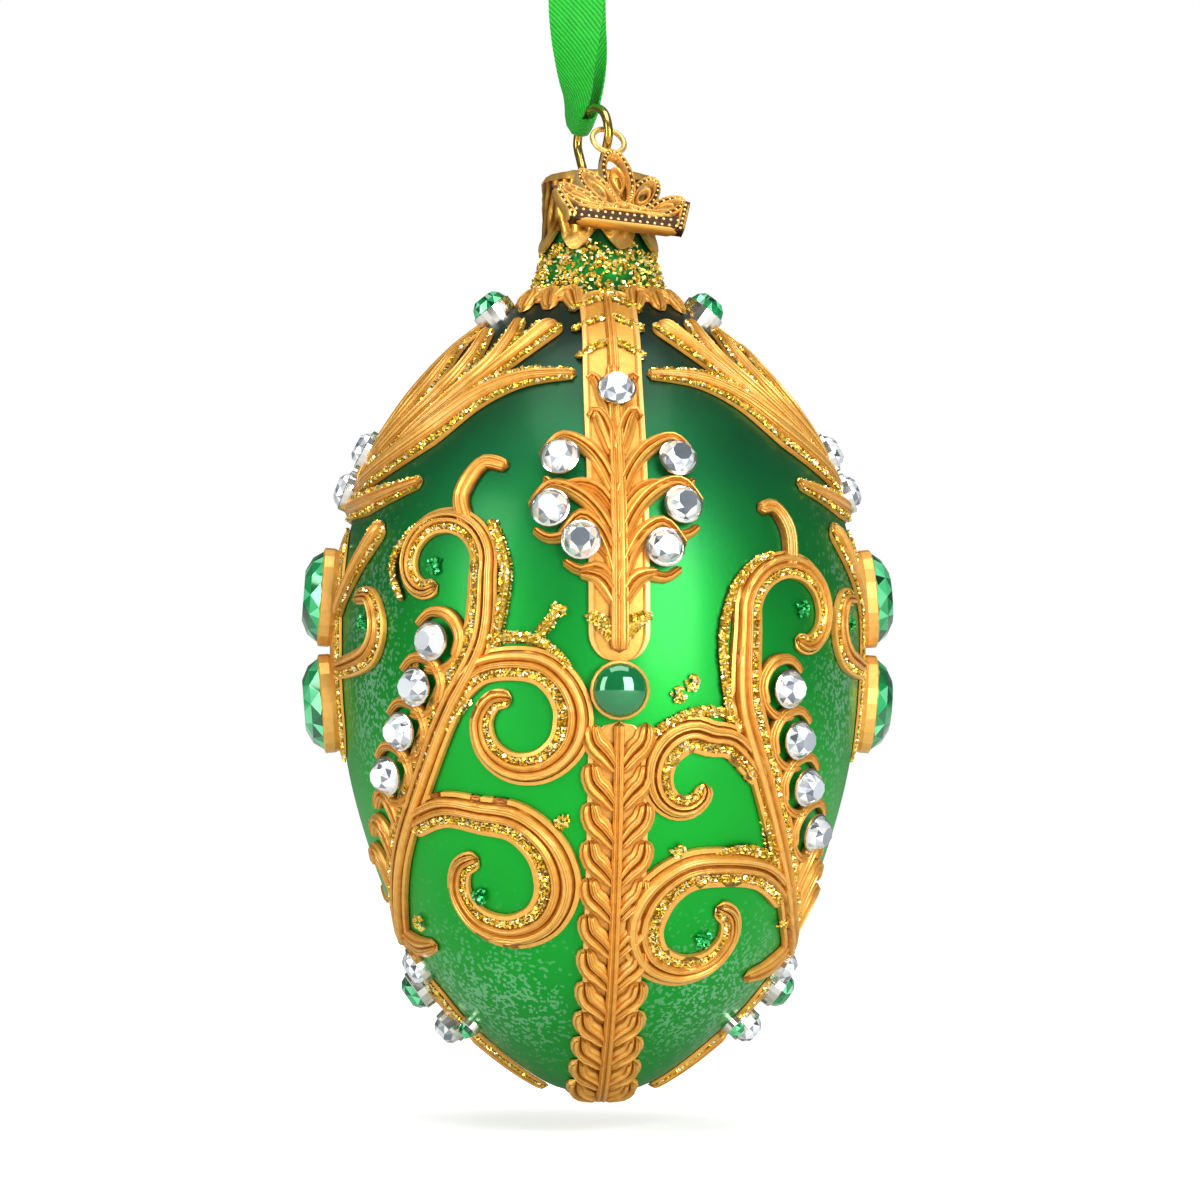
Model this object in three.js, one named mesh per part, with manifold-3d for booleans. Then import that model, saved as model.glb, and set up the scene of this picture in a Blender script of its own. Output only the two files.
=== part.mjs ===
// A jewelled glass egg: a hollow lacquered egg with applied gilt relief and
// glass stones, a metal cap, a wire hanger with a crown charm, and a ribbon.
//
// Millimetres, +Z up. The origin is the inside top of the ribbon's loop, from
// which the egg hangs. The band of leaves looks towards -Y.

import * as THREE from 'three';
import { mergeVertices } from 'three/addons/utils/BufferGeometryUtils.js';
import Module from 'manifold-3d';

const wasm = await Module();
wasm.setup();

// Driving sizes of the glass. The egg's height runs from its tip to the root
// of the neck, and the neck stands on that.
const EGG_RADIUS = 28.1;
const EGG_HEIGHT = 86.4;
const NECK_RADIUS = 5.4;
const NECK_HEIGHT = 11.6;
const GLASS_WALL = 1.1;
const GLASS_SIDES = 24;

// Places in the relief are [degrees round the egg, distance up its outline],
// on a paper pattern this tall from tip to rim, so they stretch with the egg.
const PATTERN_RUN = 117.6;

// Relief
const RELIEF_GAP = 0.35;
const RELIEF_HEIGHT = 1.25;
const BAND_WIDTH = 6.2;
const BAND_CLEARANCE = 0.3;
const STROKE_STEP = 5;
const LONG_LEAF_STEP = 6.4;
const LONG_LEAF_GAP = 0.45;
const LEAF_PAIRS = 12;

// Stones
const ROUND_STONE = 3.9;
const ROUND_STONE_HEIGHT = 2.0;
const CABOCHON = 5.6;
const CABOCHON_HEIGHT = 2.4;
const EMERALD_LENGTH = 10.4;
const EMERALD_WIDTH = 7.4;
const EMERALD_HEIGHT = 2.7;
const STONE_LIFT = 0.75;
const STONE_GAP = 0.2;
const PLATE_WIDTH = 10.4;
const PLATE_HEIGHT = 0.55;

// Cap, hanger, charm and ribbon. They are turned a little on the neck.
const HEAD_TURN = -4.3;
const CAP_METAL = 0.45;
const CAP_CLEARANCE = 0.35;
const CAP_DOME = 0.6;
const CAP_SKIRT = 5.3;
const CAP_TEETH = 8;
const TOOTH_LENGTH = 2.2;
const WIRE = 1.0;
const WIRE_HOLE = 2.0;
const LOOP_WIDTH = 8.6;
const LOOP_HEIGHT = 7.2;
const LOOP_ARCH = 3.2;
const LEG_SPREAD = 5.2;
const LEG_DEPTH = 7.6;
const LOOP_YAW = -66.8;
const LOOP_SHIFT = -0.6;
const CHARM_WIDTH = 12.6;
const CHARM_HEIGHT = 13.2;
const CHARM_YAW = 22;
const CHARM_LEAN = 37.5;
const CHARM_ROLL = 5;
const CHARM_DROP = 1.3;
const CHARM_METAL = 1.4;
const EYE_WIDTH = 4.2;
const EYE_RIM = 0.6;
const EYE_SAG = 0.45;
const EYE_METAL = 0.7;
const RIBBON_WIDTH = 6.0;
const RIBBON_METAL_GAP = 0.3;
const RIBBON_THICKNESS = 0.3;
const RIBBON_GATHERED = 2.4;
const RIBBON_BEND = 2.8;
const RIBBON_LAP = 0.55;
const RIBBON_LOOP_TOP = 136.0;
const RIBBON_SHIFT = -2.4;

const BODY_STATIONS = [
  [0, 0], [0.192, 0.0145], [0.413, 0.066], [0.616, 0.133], [0.769, 0.2165],
  [0.886, 0.315], [0.968, 0.4225], [1, 0.55], [0.975, 0.668], [0.89, 0.7615],
  [0.74, 0.845], [0.552, 0.919], [0.342, 0.9745],
];
const NECK_STATIONS = [[1.352, 0], [1.15, 0.26], [1.02, 0.53], [1, 1]];

const RIM_HEIGHT = EGG_HEIGHT + NECK_HEIGHT;
const outline = new THREE.SplineCurve([
  ...BODY_STATIONS.map(([r, z]) => new THREE.Vector2(r * EGG_RADIUS, z * EGG_HEIGHT)),
  ...NECK_STATIONS.map(([r, z]) => new THREE.Vector2(r * NECK_RADIUS, EGG_HEIGHT + z * NECK_HEIGHT)),
]);
outline.arcLengthDivisions = 600;
const outlineLength = outline.getLength();

function surface(metal, colour, roughness, metalness) {
  const material = new THREE.MeshStandardMaterial({ color: colour, roughness, metalness });
  material.name = metal;
  return material;
}

const lacquer = surface('green lacquered glass', 0x00a838, 0.25, 0.3);
const gilt = surface('gilt relief', 0xd9952f, 0.4, 0.6);
const crystal = surface('clear glass stone', 0xe8ecef, 0.08, 0.2);
const emerald = surface('green glass stone', 0x0b8f52, 0.08, 0.2);
const capGold = surface('gilt cap', 0xd8a040, 0.3, 1);
const wireBrass = surface('brass wire', 0xb08a2c, 0.3, 1);
const charmGold = surface('antique gold charm', 0xc98f3a, 0.35, 1);
const satin = surface('green satin ribbon', 0x06b41c, 0.45, 0);

const part = new THREE.Group();
const egg = new THREE.Group();
const head = new THREE.Group();
const headTurn = THREE.MathUtils.degToRad(HEAD_TURN);
head.rotation.z = headTurn;
egg.add(head);
part.add(egg);
const hangPoint = new THREE.Vector3(RIBBON_SHIFT, 0, RIBBON_LOOP_TOP);
egg.position.copy(hangPoint.clone().applyAxisAngle(new THREE.Vector3(0, 0, 1), headTurn).negate());

function addPiece(name, geometry, material, parent = egg) {
  const piece = new THREE.Mesh(geometry, material);
  piece.name = name;
  parent.add(piece);
  return piece;
}

// Booleans

function toSolid(geometry) {
  const bare = geometry.index ? geometry.clone() : geometry;
  bare.deleteAttribute('normal');
  bare.deleteAttribute('uv');
  const merged = mergeVertices(bare, 1e-4);
  return new wasm.Manifold(new wasm.Mesh({
    numProp: 3,
    vertProperties: Float32Array.from(merged.attributes.position.array),
    triVerts: Uint32Array.from(merged.index.array),
  }));
}

function fromSolid(solid) {
  const { vertProperties, triVerts } = solid.getMesh();
  const geometry = new THREE.BufferGeometry();
  geometry.setAttribute('position', new THREE.BufferAttribute(Float32Array.from(vertProperties), 3));
  geometry.setIndex(new THREE.BufferAttribute(Uint32Array.from(triVerts), 1));
  geometry.computeVertexNormals();
  return geometry;
}

function joined(geometries) {
  return geometries.map(toSolid).reduce((whole, next) => whole.add(next));
}

// A closed skin over rings of points that follow one another. A thin sheet's two faces are
// split along the same diagonal, so that they keep clear of each other where it twists
function loft(rings, thinSheet = false) {
  const count = rings[0].length;
  const last = (rings.length - 1) * count;
  const index = [];
  for (let ring = 0; ring < rings.length - 1; ring += 1) {
    for (let side = 0; side < count; side += 1) {
      const a = ring * count + side;
      const b = ring * count + (side + 1) % count;
      if (thinSheet && side >= count / 2) index.push(a, b, a + count, b, b + count, a + count);
      else index.push(a, b, b + count, a, b + count, a + count);
    }
  }
  for (let side = 1; side < count - 1; side += 1) {
    index.push(0, side + 1, side, last, last + side, last + side + 1);
  }
  const geometry = new THREE.BufferGeometry().setFromPoints(rings.flat());
  geometry.setIndex(index);
  return geometry;
}

function lathe(profile, sides) {
  const points = profile.map(([radius, height]) => new THREE.Vector2(radius, height));
  return new THREE.LatheGeometry(points, sides).rotateX(Math.PI / 2);
}

// Places on the glass

const patternScale = outlineLength / PATTERN_RUN;

function outlineAt(run) {
  const share = THREE.MathUtils.clamp(run / PATTERN_RUN, 0, 1);
  return { point: outline.getPointAt(share), slope: outline.getTangentAt(share) };
}

function perDegree(run) {
  return Math.max(outlineAt(run).point.x, 1) * Math.PI / 180;
}

function across(run, millimetres) {
  return millimetres / perDegree(run);
}

function onGlass([degrees, run], lift) {
  const { point, slope } = outlineAt(run);
  const radius = point.x + slope.y * lift;
  const angle = THREE.MathUtils.degToRad(degrees);
  return new THREE.Vector3(radius * Math.sin(angle), -radius * Math.cos(angle), point.y - slope.x * lift);
}

function frameOnGlass([degrees, run], lift) {
  const { slope } = outlineAt(run);
  const angle = THREE.MathUtils.degToRad(degrees);
  const round = new THREE.Vector3(Math.cos(angle), Math.sin(angle), 0);
  const up = new THREE.Vector3(slope.x * Math.sin(angle), -slope.x * Math.cos(angle), slope.y);
  const out = new THREE.Vector3().crossVectors(round, up);
  return new THREE.Matrix4().makeBasis(round, up, out).setPosition(onGlass([degrees, run], lift));
}

// Relief strokes: a section drawn along a route on the glass

const RIDGE = [[-1, 0], [0, 1], [1, 0]];
const BROAD = [[-1, 0], [-0.5, 1], [0.5, 1], [1, 0]];
const FOLDED = [[-1, 0], [-0.55, 1], [0, 0.55], [0.55, 1], [1, 0]];
const PLATE = [[-1, 0], [-0.9, 1], [0, 1], [0.9, 1], [1, 0], [0, 0]];

function threeWay([start, middle, end], share) {
  return share < 0.5
    ? THREE.MathUtils.lerp(start, middle, share * 2)
    : THREE.MathUtils.lerp(middle, end, share * 2 - 1);
}

function stroke(route, widths,
  { height = RELIEF_HEIGHT, section = RIDGE, step = STROKE_STEP, gap = RELIEF_GAP } = {}) {
  const curve = new THREE.SplineCurve(route.map(([degrees, run]) => new THREE.Vector2(degrees, run)));
  const stations = curve.getPoints(24).map((place) => onGlass(place.toArray(), 0));
  const length = stations.slice(1).reduce((sum, place, i) => sum + place.distanceTo(stations[i]), 0);
  const steps = Math.max(2, Math.round(length / step));
  const widest = Math.max(...widths);
  const rings = [];
  for (let i = 0; i <= steps; i += 1) {
    const share = i / steps;
    const place = curve.getPoint(share);
    const ahead = curve.getTangent(share);
    const scale = perDegree(place.y);
    const direction = new THREE.Vector2(ahead.x * scale, ahead.y * patternScale).normalize();
    const width = threeWay(widths, share);
    const rise = height * Math.sqrt(width / widest);
    rings.push(section.map(([side, up]) => onGlass([
      place.x + direction.y * side * width / 2 / scale,
      place.y - direction.x * side * width / 2 / patternScale,
    ], gap + up * rise)));
  }
  return loft(rings);
}

// A scroll: a stem that runs into a spiral, which draws in towards its end
function scroll(stem, { centre, radius, from, sweep, draw = 0.7, squash = 1 }) {
  const turns = 9;
  const route = [...stem];
  for (let i = 0; i <= turns; i += 1) {
    const share = i / turns;
    const reach = radius * (1 - draw * share ** 4);
    const angle = THREE.MathUtils.degToRad(from + sweep * share);
    const run = centre[1] + reach * Math.sin(angle);
    route.push([centre[0] + across(run, reach * squash * Math.cos(angle)), run]);
  }
  return route;
}

// A leaf that arches over a stone, from the stem's side to the outer side
function cup([degrees, run], outward, reach = 1) {
  const arch = [];
  const radius = ROUND_STONE / 2 + 1.1;
  for (const angle of [-40, 25, 85, 145]) {
    const turn = THREE.MathUtils.degToRad(angle);
    arch.push([
      degrees - outward * across(run, radius * Math.cos(turn)),
      run + radius * reach * Math.sin(turn),
    ]);
  }
  return stroke(arch, [1.4, 1.4, 0.8], { height: 1 });
}

// Stones: a pointed back, a girdle, a crown and a flat table
function gem(place, lift, width, length, height, sides) {
  const shape = lathe([[0, 0], [0.5, 0.3], [0.3, 1], [0, 1]], sides);
  const spin = sides % 2 ? 0 : Math.PI / sides;
  shape.rotateZ(spin);
  shape.scale(width, length, height);
  return shape.applyMatrix4(frameOnGlass(place, lift));
}

function seatFor(place, lift, width, length, height, sides) {
  return toSolid(gem(place, lift - STONE_GAP, width + 2 * STONE_GAP, length + 2 * STONE_GAP,
    height + 2 * STONE_GAP, sides));
}

function roundStone(place) {
  return [place, STONE_LIFT, ROUND_STONE, ROUND_STONE, ROUND_STONE_HEIGHT, 6];
}

function cutSeats(relief, stones) {
  return stones.reduce((left, stone) => left.subtract(seatFor(...stone)), relief);
}

// The glass egg, hollow and open at its neck
function glassEgg() {
  const outerSteps = 17;
  const innerSteps = 8;
  const insideFrom = 0.07;
  const profile = [];
  for (let i = 0; i <= outerSteps; i += 1) {
    const point = outline.getPointAt(i / outerSteps);
    profile.push([i ? point.x : 0, point.y]);
  }
  for (let i = innerSteps; i >= 0; i -= 1) {
    const share = insideFrom + (1 - insideFrom) * i / innerSteps;
    const point = outline.getPointAt(share);
    const slope = outline.getTangentAt(share);
    const lowered = i === innerSteps ? 0 : slope.x * GLASS_WALL;
    profile.push([point.x - slope.y * GLASS_WALL, point.y + lowered]);
  }
  profile.push([0, profile[profile.length - 1][1] - GLASS_WALL]);
  return lathe(profile, GLASS_SIDES);
}

addPiece('glass_egg', glassEgg(), lacquer);

// Band of leaves: a spray with stones above the cabochon, a garland below it

const SPRAY_STONES = {
  left: [[-13, 78.7], [-14.4, 73.2], [-7.8, 69.9]],
  right: [[14, 78.6], [13.9, 73.6], [9.4, 69.2]],
};
const CABOCHON_RUN = 54.9;
const TOP_STONE = [0.7, 87];

function sprayBranch([degrees, run], outward) {
  return stroke([
    [0, run - 3.6], [degrees * 0.25, run + 0.6], [degrees * 0.6, run + 2.2],
    [degrees + outward * 0.6, run + 2.6], [degrees + outward * 5, run + 0.4],
  ], [2, 1.7, 0.8], { height: 1.1 });
}

function leafSpray() {
  const pieces = [stroke([[0, 59.6], [0, 72], [0, 84]], [2.6, 2.4, 2], { step: 6 })];
  for (const [side, outward] of [['left', -1], ['right', 1]]) {
    for (const stone of SPRAY_STONES[side]) pieces.push(sprayBranch(stone, outward));
    const topLeaf = [[0, 79], [outward * 2.6, 83], [outward * 5, 84.6], [outward * 6.6, 83.4]];
    pieces.push(stroke(topLeaf, [2.4, 2.6, 1.4]));
    pieces.push(stroke([[0, 63.2], [outward * 3.5, 66.1], [outward * 8.6, 66.8]], [1.8, 2.2, 1.2]));
  }
  const stones = [...SPRAY_STONES.left, ...SPRAY_STONES.right].map(roundStone);
  return cutSeats(joined(pieces), [...stones, topStone(), cabochon()]);
}

function garland() {
  const top = CABOCHON_RUN - CABOCHON / 2 - 0.4;
  const bottom = 3.4;
  const pitch = (top - bottom) / LEAF_PAIRS;
  const rings = [];
  const addRing = (run, width, rise) => rings.push(FOLDED.map(([side, up]) => onGlass([
    across(run + (Math.abs(side) === 1 ? 0 : pitch * 0.35 * Math.abs(side)), side * width / 2),
    run - (side ? 0 : pitch * 0.3),
  ], RELIEF_GAP + up * rise)));
  for (let pair = 0; pair < LEAF_PAIRS; pair += 1) {
    const run = bottom + pair * pitch;
    addRing(run, BAND_WIDTH * 0.66, RELIEF_HEIGHT * 0.6);
    addRing(run + pitch * 0.75, BAND_WIDTH + 0.4, RELIEF_HEIGHT);
  }
  addRing(top, BAND_WIDTH * 0.6, RELIEF_HEIGHT * 0.6);
  return loft(rings);
}

function topStone() {
  return [TOP_STONE, STONE_LIFT - 0.25, ROUND_STONE + 0.1, ROUND_STONE + 0.1, ROUND_STONE_HEIGHT, 6];
}

function cabochon() {
  return [[0, CABOCHON_RUN], STONE_LIFT - 0.25, CABOCHON, CABOCHON, CABOCHON_HEIGHT, 10];
}

// Scrollwork beside the band. The left and the right run differently.
const LEFT_SCROLLS = {
  stones: [[-40, 60], [-44.6, 55.4], [-49.6, 50.9], [-55.6, 46.4]],
  leaves: [[-61.5, 43.6], [-67.5, 40.6], [-74.5, 37.4]],
  trunk: scroll([[-84, 27.5], [-72, 32], [-60, 38.4], [-48, 45.4], [-38, 53.4], [-30, 60]],
    { centre: [-39.5, 67.6], radius: 4.9, from: -8, sweep: 268, draw: 0.62, squash: 1.06 }),
  hook: [[-33, 71.4], [-36.4, 75], [-32.4, 78.6], [-25.6, 78.1]],
  first: scroll([[-38, 53.2], [-29.5, 57]],
    { centre: [-20.8, 52.1], radius: 5.5, from: 78, sweep: -325, draw: 0.63 }),
  second: scroll([[-54, 40.8], [-42, 42.6]],
    { centre: [-30.2, 35.5], radius: 6.6, from: 96, sweep: -324, draw: 0.62 }),
  foot: [[-80, 29], [-70, 27.2], [-59, 27.4]],
};
const RIGHT_SCROLLS = {
  stones: [[38, 55.2], [41.9, 50], [46.9, 45.2], [54.4, 40.4]],
  leaves: [[60.5, 38.2], [66.5, 35.6], [73.5, 32.8]],
  trunk: scroll([[79, 26.2], [69, 28.6], [58, 31.8], [46, 38], [36, 45.4], [28.4, 53.4]],
    { centre: [40.6, 62.4], radius: 5.6, from: 186, sweep: -266, draw: 0.62, squash: 1.1 }),
  hook: [[40.6, 67.4], [41.4, 71.6], [38, 74], [33.4, 73.6]],
  first: scroll([[34.6, 45.6], [26, 49.4]],
    { centre: [16.2, 46.3], radius: 4.2, from: 62, sweep: 270, draw: 0.55, squash: 0.9 }),
  second: scroll([[54, 32.6], [40, 35.8]],
    { centre: [23.4, 30.4], radius: 6.1, from: 84, sweep: 318, draw: 0.62 }),
  foot: [[73, 27.4], [63, 24.6], [50.5, 23.4]],
};

function scrollwork(pattern, outward) {
  const pieces = [
    stroke(pattern.trunk, [3, 3.8, 1.5], { section: BROAD }),
    stroke(pattern.hook, [1.8, 2, 1.5], { height: 1 }),
    stroke(pattern.first, [2.6, 4, 1.5]),
    stroke(pattern.second, [3, 4.8, 1.6]),
    stroke(pattern.foot, [2, 2.8, 1.4], { height: 1 }),
  ];
  for (const stone of pattern.stones) pieces.push(cup(stone, outward));
  for (const [degrees, run] of pattern.leaves) {
    pieces.push(stroke([
      [degrees - outward * 5, run - 5], [degrees - outward * 3, run - 0.4],
      [degrees + outward * 1, run + 0.6], [degrees + outward * 4.4, run - 0.7],
    ], [1.6, 2.2, 0.8], { height: 1.05 }));
  }
  const bandSide = BAND_WIDTH + 2 * BAND_CLEARANCE;
  const bandRoom = new THREE.BoxGeometry(bandSide, 2 * EGG_RADIUS, EGG_HEIGHT);
  bandRoom.translate(0, -EGG_RADIUS, EGG_HEIGHT / 2);
  const relief = joined(pieces).subtract(toSolid(bandRoom));
  return cutSeats(relief, pattern.stones.map(roundStone));
}

// Plume of leaves on each shoulder, the same to the front and to the back
const PLUME_LEAVES = [
  { route: [[-90, 77], [-70, 79.7], [-55, 83], [-42, 87.3], [-28, 89.6], [-11, 90]], widths: [3, 4.6, 1] },
  { route: [[-54, 85], [-38, 92], [-29, 96.3], [-24.5, 98.6]], widths: [1.6, 2.2, 3.8] },
  { route: [[-66, 81.5], [-46, 90], [-42, 95], [-47, 99.5]], widths: [2.6, 3.8, 1.4] },
  { route: [[-78, 80.5], [-60, 87.6], [-56, 93.4], [-64, 98]], widths: [2.6, 3.6, 1.4] },
  { route: [[-90, 80], [-74, 86.4], [-72, 92], [-82, 96.4]], widths: [2.6, 3.4, 1.4] },
  { route: [[-90, 74.8], [-70, 75.2], [-49.5, 77]], widths: [2.2, 3, 1.2] },
];

function plume() {
  const pieces = [stroke([[-90, 74.2], [-90, 88], [-90, 102.6]], [3.4, 3.6, 1.4], { step: LONG_LEAF_STEP })];
  for (const mirrored of [false, true]) {
    const turn = ([degrees, run]) => [mirrored ? -180 - degrees : degrees, run];
    for (const { route, widths } of PLUME_LEAVES) {
      pieces.push(stroke(route.map(turn), widths, { step: LONG_LEAF_STEP, gap: LONG_LEAF_GAP }));
    }
  }
  return joined(pieces);
}

// Side setting: the plate that carries the two long emeralds, with a C-scroll
// and a clubbed leaf on either side
const PLATE_RUNS = [47.6, 60, 73];
const EMERALD_RUNS = [65.3, 54.1];

function emeraldStone(run) {
  return [[-90, run], RELIEF_GAP + PLATE_HEIGHT + RELIEF_GAP, EMERALD_WIDTH, EMERALD_LENGTH, EMERALD_HEIGHT, 10];
}

function sidePlate() {
  const widths = [PLATE_WIDTH * 0.8, PLATE_WIDTH, PLATE_WIDTH * 0.7];
  const plate = { height: PLATE_HEIGHT, section: PLATE, step: STROKE_STEP };
  const pieces = [stroke(PLATE_RUNS.map((run) => [-90, run]), widths, plate)];
  for (const mirrored of [false, true]) {
    const turn = ([degrees, run]) => [mirrored ? -180 - degrees : degrees, run];
    const curl = [[-82, 57.6], [-70, 57.9], [-61, 59], [-58, 61.8], [-61.5, 64.8], [-69, 64.9]];
    const club = [[-82, 63.4], [-73, 66.8], [-65, 70.2], [-60, 72.6]];
    pieces.push(stroke(curl.map(turn), [2, 2.8, 1.4]), stroke(club.map(turn), [1.8, 2.2, 2.8]));
  }
  return cutSeats(joined(pieces), EMERALD_RUNS.map(emeraldStone));
}

// Lower drop on each side: a shell that carries two stones, and a tail of
// relief that runs from it to the egg's tip
const DROP_STONES = [
  { name: 'green_octagon', place: [-90, 22.4], width: 5.2, length: 4.6, sides: 8, material: emerald },
  { name: 'clear_drop', place: [-90, 17.4], width: 3.2, length: 3.8, sides: 8, material: crystal },
];

function dropStone({ place, width, length, sides }) {
  return [place, RELIEF_GAP + RELIEF_HEIGHT * 0.8 + STONE_GAP, width, length, 1.8, sides];
}

function sideDrop() {
  const shell = stroke([[-90, 26.4], [-90, 22.4], [-90, 15]], [4.4, 7.8, 4],
    { height: RELIEF_HEIGHT * 0.8, section: PLATE, step: 3 });
  const tail = stroke([[-90, 16], [-90, 10], [-90, 5.4]], [3.6, 2.8, 1.6]);
  return cutSeats(joined([shell, tail]), DROP_STONES.map(dropStone));
}

const HALF_TURN = Math.PI;
const FACES = [['front', 0], ['back', HALF_TURN]];
const SIDES = [['left', 0], ['right', HALF_TURN]];

function addOnFace(name, geometry, material, turn) {
  addPiece(name, geometry, material).rotation.z = turn;
}

for (const [face, turn] of FACES) {
  addOnFace(`${face}_leaf_spray`, fromSolid(leafSpray()), gilt, turn);
  addOnFace(`${face}_leaf_garland`, garland(), gilt, turn);
  addOnFace(`${face}_left_scrollwork`, fromSolid(scrollwork(LEFT_SCROLLS, -1)), gilt, turn);
  addOnFace(`${face}_right_scrollwork`, fromSolid(scrollwork(RIGHT_SCROLLS, 1)), gilt, turn);
  addOnFace(`${face}_cabochon`, gem(...cabochon()), emerald, turn);
  addOnFace(`${face}_top_stone`, gem(...topStone()), crystal, turn);
  for (const side of ['left', 'right']) {
    SPRAY_STONES[side].forEach((place, i) => {
      addOnFace(`${face}_${side}_spray_stone_${i + 1}`, gem(...roundStone(place)), crystal, turn);
    });
    const { stones } = side === 'left' ? LEFT_SCROLLS : RIGHT_SCROLLS;
    stones.forEach((place, i) => {
      addOnFace(`${face}_${side}_scroll_stone_${i + 1}`, gem(...roundStone(place)), crystal, turn);
    });
  }
}

for (const [side, turn] of SIDES) {
  addOnFace(`${side}_plume`, fromSolid(plume()), gilt, turn);
  addOnFace(`${side}_setting_plate`, fromSolid(sidePlate()), gilt, turn);
  EMERALD_RUNS.forEach((run, i) => {
    addOnFace(`${side}_${i ? 'lower' : 'upper'}_emerald`, gem(...emeraldStone(run)), emerald, turn);
  });
  addOnFace(`${side}_lower_drop`, fromSolid(sideDrop()), gilt, turn);
  for (const stone of DROP_STONES) {
    addOnFace(`${side}_${stone.name}`, gem(...dropStone(stone)), stone.material, turn);
  }
}

// Cap: a thin cup over the neck, cut into teeth at its hem

const capTop = RIM_HEIGHT + CAP_CLEARANCE + CAP_DOME + CAP_METAL;
const capHem = RIM_HEIGHT - CAP_SKIRT;
const capInside = NECK_RADIUS + CAP_CLEARANCE;
const capOutside = capInside + CAP_METAL;

function capShell() {
  const flare = 0.65;
  const flat = capInside * 0.7;
  const toothTip = capHem - TOOTH_LENGTH;
  const underside = capTop - CAP_METAL;
  return lathe([
    [0, underside], [flat, underside], [capInside, underside - CAP_DOME - 0.2], [capInside, capHem],
    [capInside + flare, toothTip], [capOutside + flare, toothTip], [capOutside, capHem],
    [capOutside, capTop - CAP_DOME - 0.5], [capOutside - 0.5, capTop - CAP_DOME], [flat, capTop], [0, capTop],
  ], CAP_TEETH * 2);
}

function toothGap(index) {
  const half = Math.PI / CAP_TEETH * 0.42 * capOutside;
  const wedge = new THREE.Shape([
    new THREE.Vector2(-half * 1.5, -TOOTH_LENGTH - 1), new THREE.Vector2(half * 1.5, -TOOTH_LENGTH - 1),
    new THREE.Vector2(half * 0.5, 0), new THREE.Vector2(-half * 0.5, 0),
  ]);
  const gap = new THREE.ExtrudeGeometry(wedge, { depth: capOutside * 2, bevelEnabled: false });
  gap.rotateX(Math.PI / 2).translate(0, 0, capHem);
  return gap.rotateZ((index + 0.5) * 2 * Math.PI / CAP_TEETH);
}

function legHole(outward) {
  const hole = new THREE.CylinderGeometry(WIRE_HOLE / 2, WIRE_HOLE / 2, CAP_METAL * 6, 10);
  const leg = loopPoint(outward * LEG_SPREAD / 2, capTop);
  return hole.rotateX(Math.PI / 2).translate(leg.x, leg.y, leg.z);
}

function ornamentCap() {
  let cap = toSolid(capShell());
  for (let i = 0; i < CAP_TEETH; i += 1) cap = cap.subtract(toSolid(toothGap(i)));
  return cap.subtract(toSolid(legHole(-1))).subtract(toSolid(legHole(1)));
}

// Hanger: a wire loop above the cap whose two legs go down into the neck

function loopPoint(along, height) {
  const yaw = THREE.MathUtils.degToRad(LOOP_YAW);
  return new THREE.Vector3(LOOP_SHIFT + along * Math.cos(yaw), along * Math.sin(yaw), height);
}

const loopTop = capTop + LOOP_HEIGHT;
const loopMiddle = loopTop - LOOP_ARCH;
const loopSlant = LOOP_WIDTH / 2 * Math.SQRT1_2;
const archSlant = LOOP_ARCH * Math.SQRT1_2;

function hangerWire() {
  const leg = LEG_SPREAD / 2;
  const half = LOOP_WIDTH / 2;
  const side = [
    [leg, capTop - LEG_DEPTH], [leg, capTop - LEG_DEPTH / 2], [leg, capTop + 0.2],
    [(leg + half) / 2, (capTop + loopMiddle) / 2], [half, loopMiddle], [loopSlant, loopMiddle + archSlant],
  ];
  const route = [
    ...side.map(([along, height]) => loopPoint(-along, height)),
    loopPoint(0, loopTop),
    ...side.reverse().map(([along, height]) => loopPoint(along, height)),
  ];
  const section = new THREE.Shape();
  section.absarc(0, 0, WIRE / 2, 0, 2 * Math.PI);
  return new THREE.ExtrudeGeometry(section, {
    steps: 18, curveSegments: 3, bevelEnabled: false, extrudePath: new THREE.CatmullRomCurve3(route),
  });
}

// Crown charm: a pierced tiara with an eye, threaded on the hanger's loop

function ringShape(length, width, rim, sides) {
  const shape = new THREE.Shape();
  const hole = new THREE.Path();
  for (let i = 0; i < sides; i += 1) {
    const turn = 2 * Math.PI * i / sides;
    const pinch = 1 - 0.28 * Math.max(0, -Math.sin(turn)) ** 2;
    const [x, y] = [Math.cos(turn) * pinch, Math.sin(turn)];
    shape[i ? 'lineTo' : 'moveTo'](x * width / 2, y * length / 2);
    hole[i ? 'lineTo' : 'moveTo'](x * (width / 2 - rim), y * (length / 2 - rim));
  }
  shape.holes.push(hole);
  return shape;
}

function charmPlate(shape, place = [0, 0], lean = 0, metal = CHARM_METAL) {
  const plate = new THREE.ExtrudeGeometry(shape, { depth: metal, bevelEnabled: false, curveSegments: 4 });
  return plate.rotateZ(THREE.MathUtils.degToRad(lean)).translate(place[0], place[1], -metal / 2);
}

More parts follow.
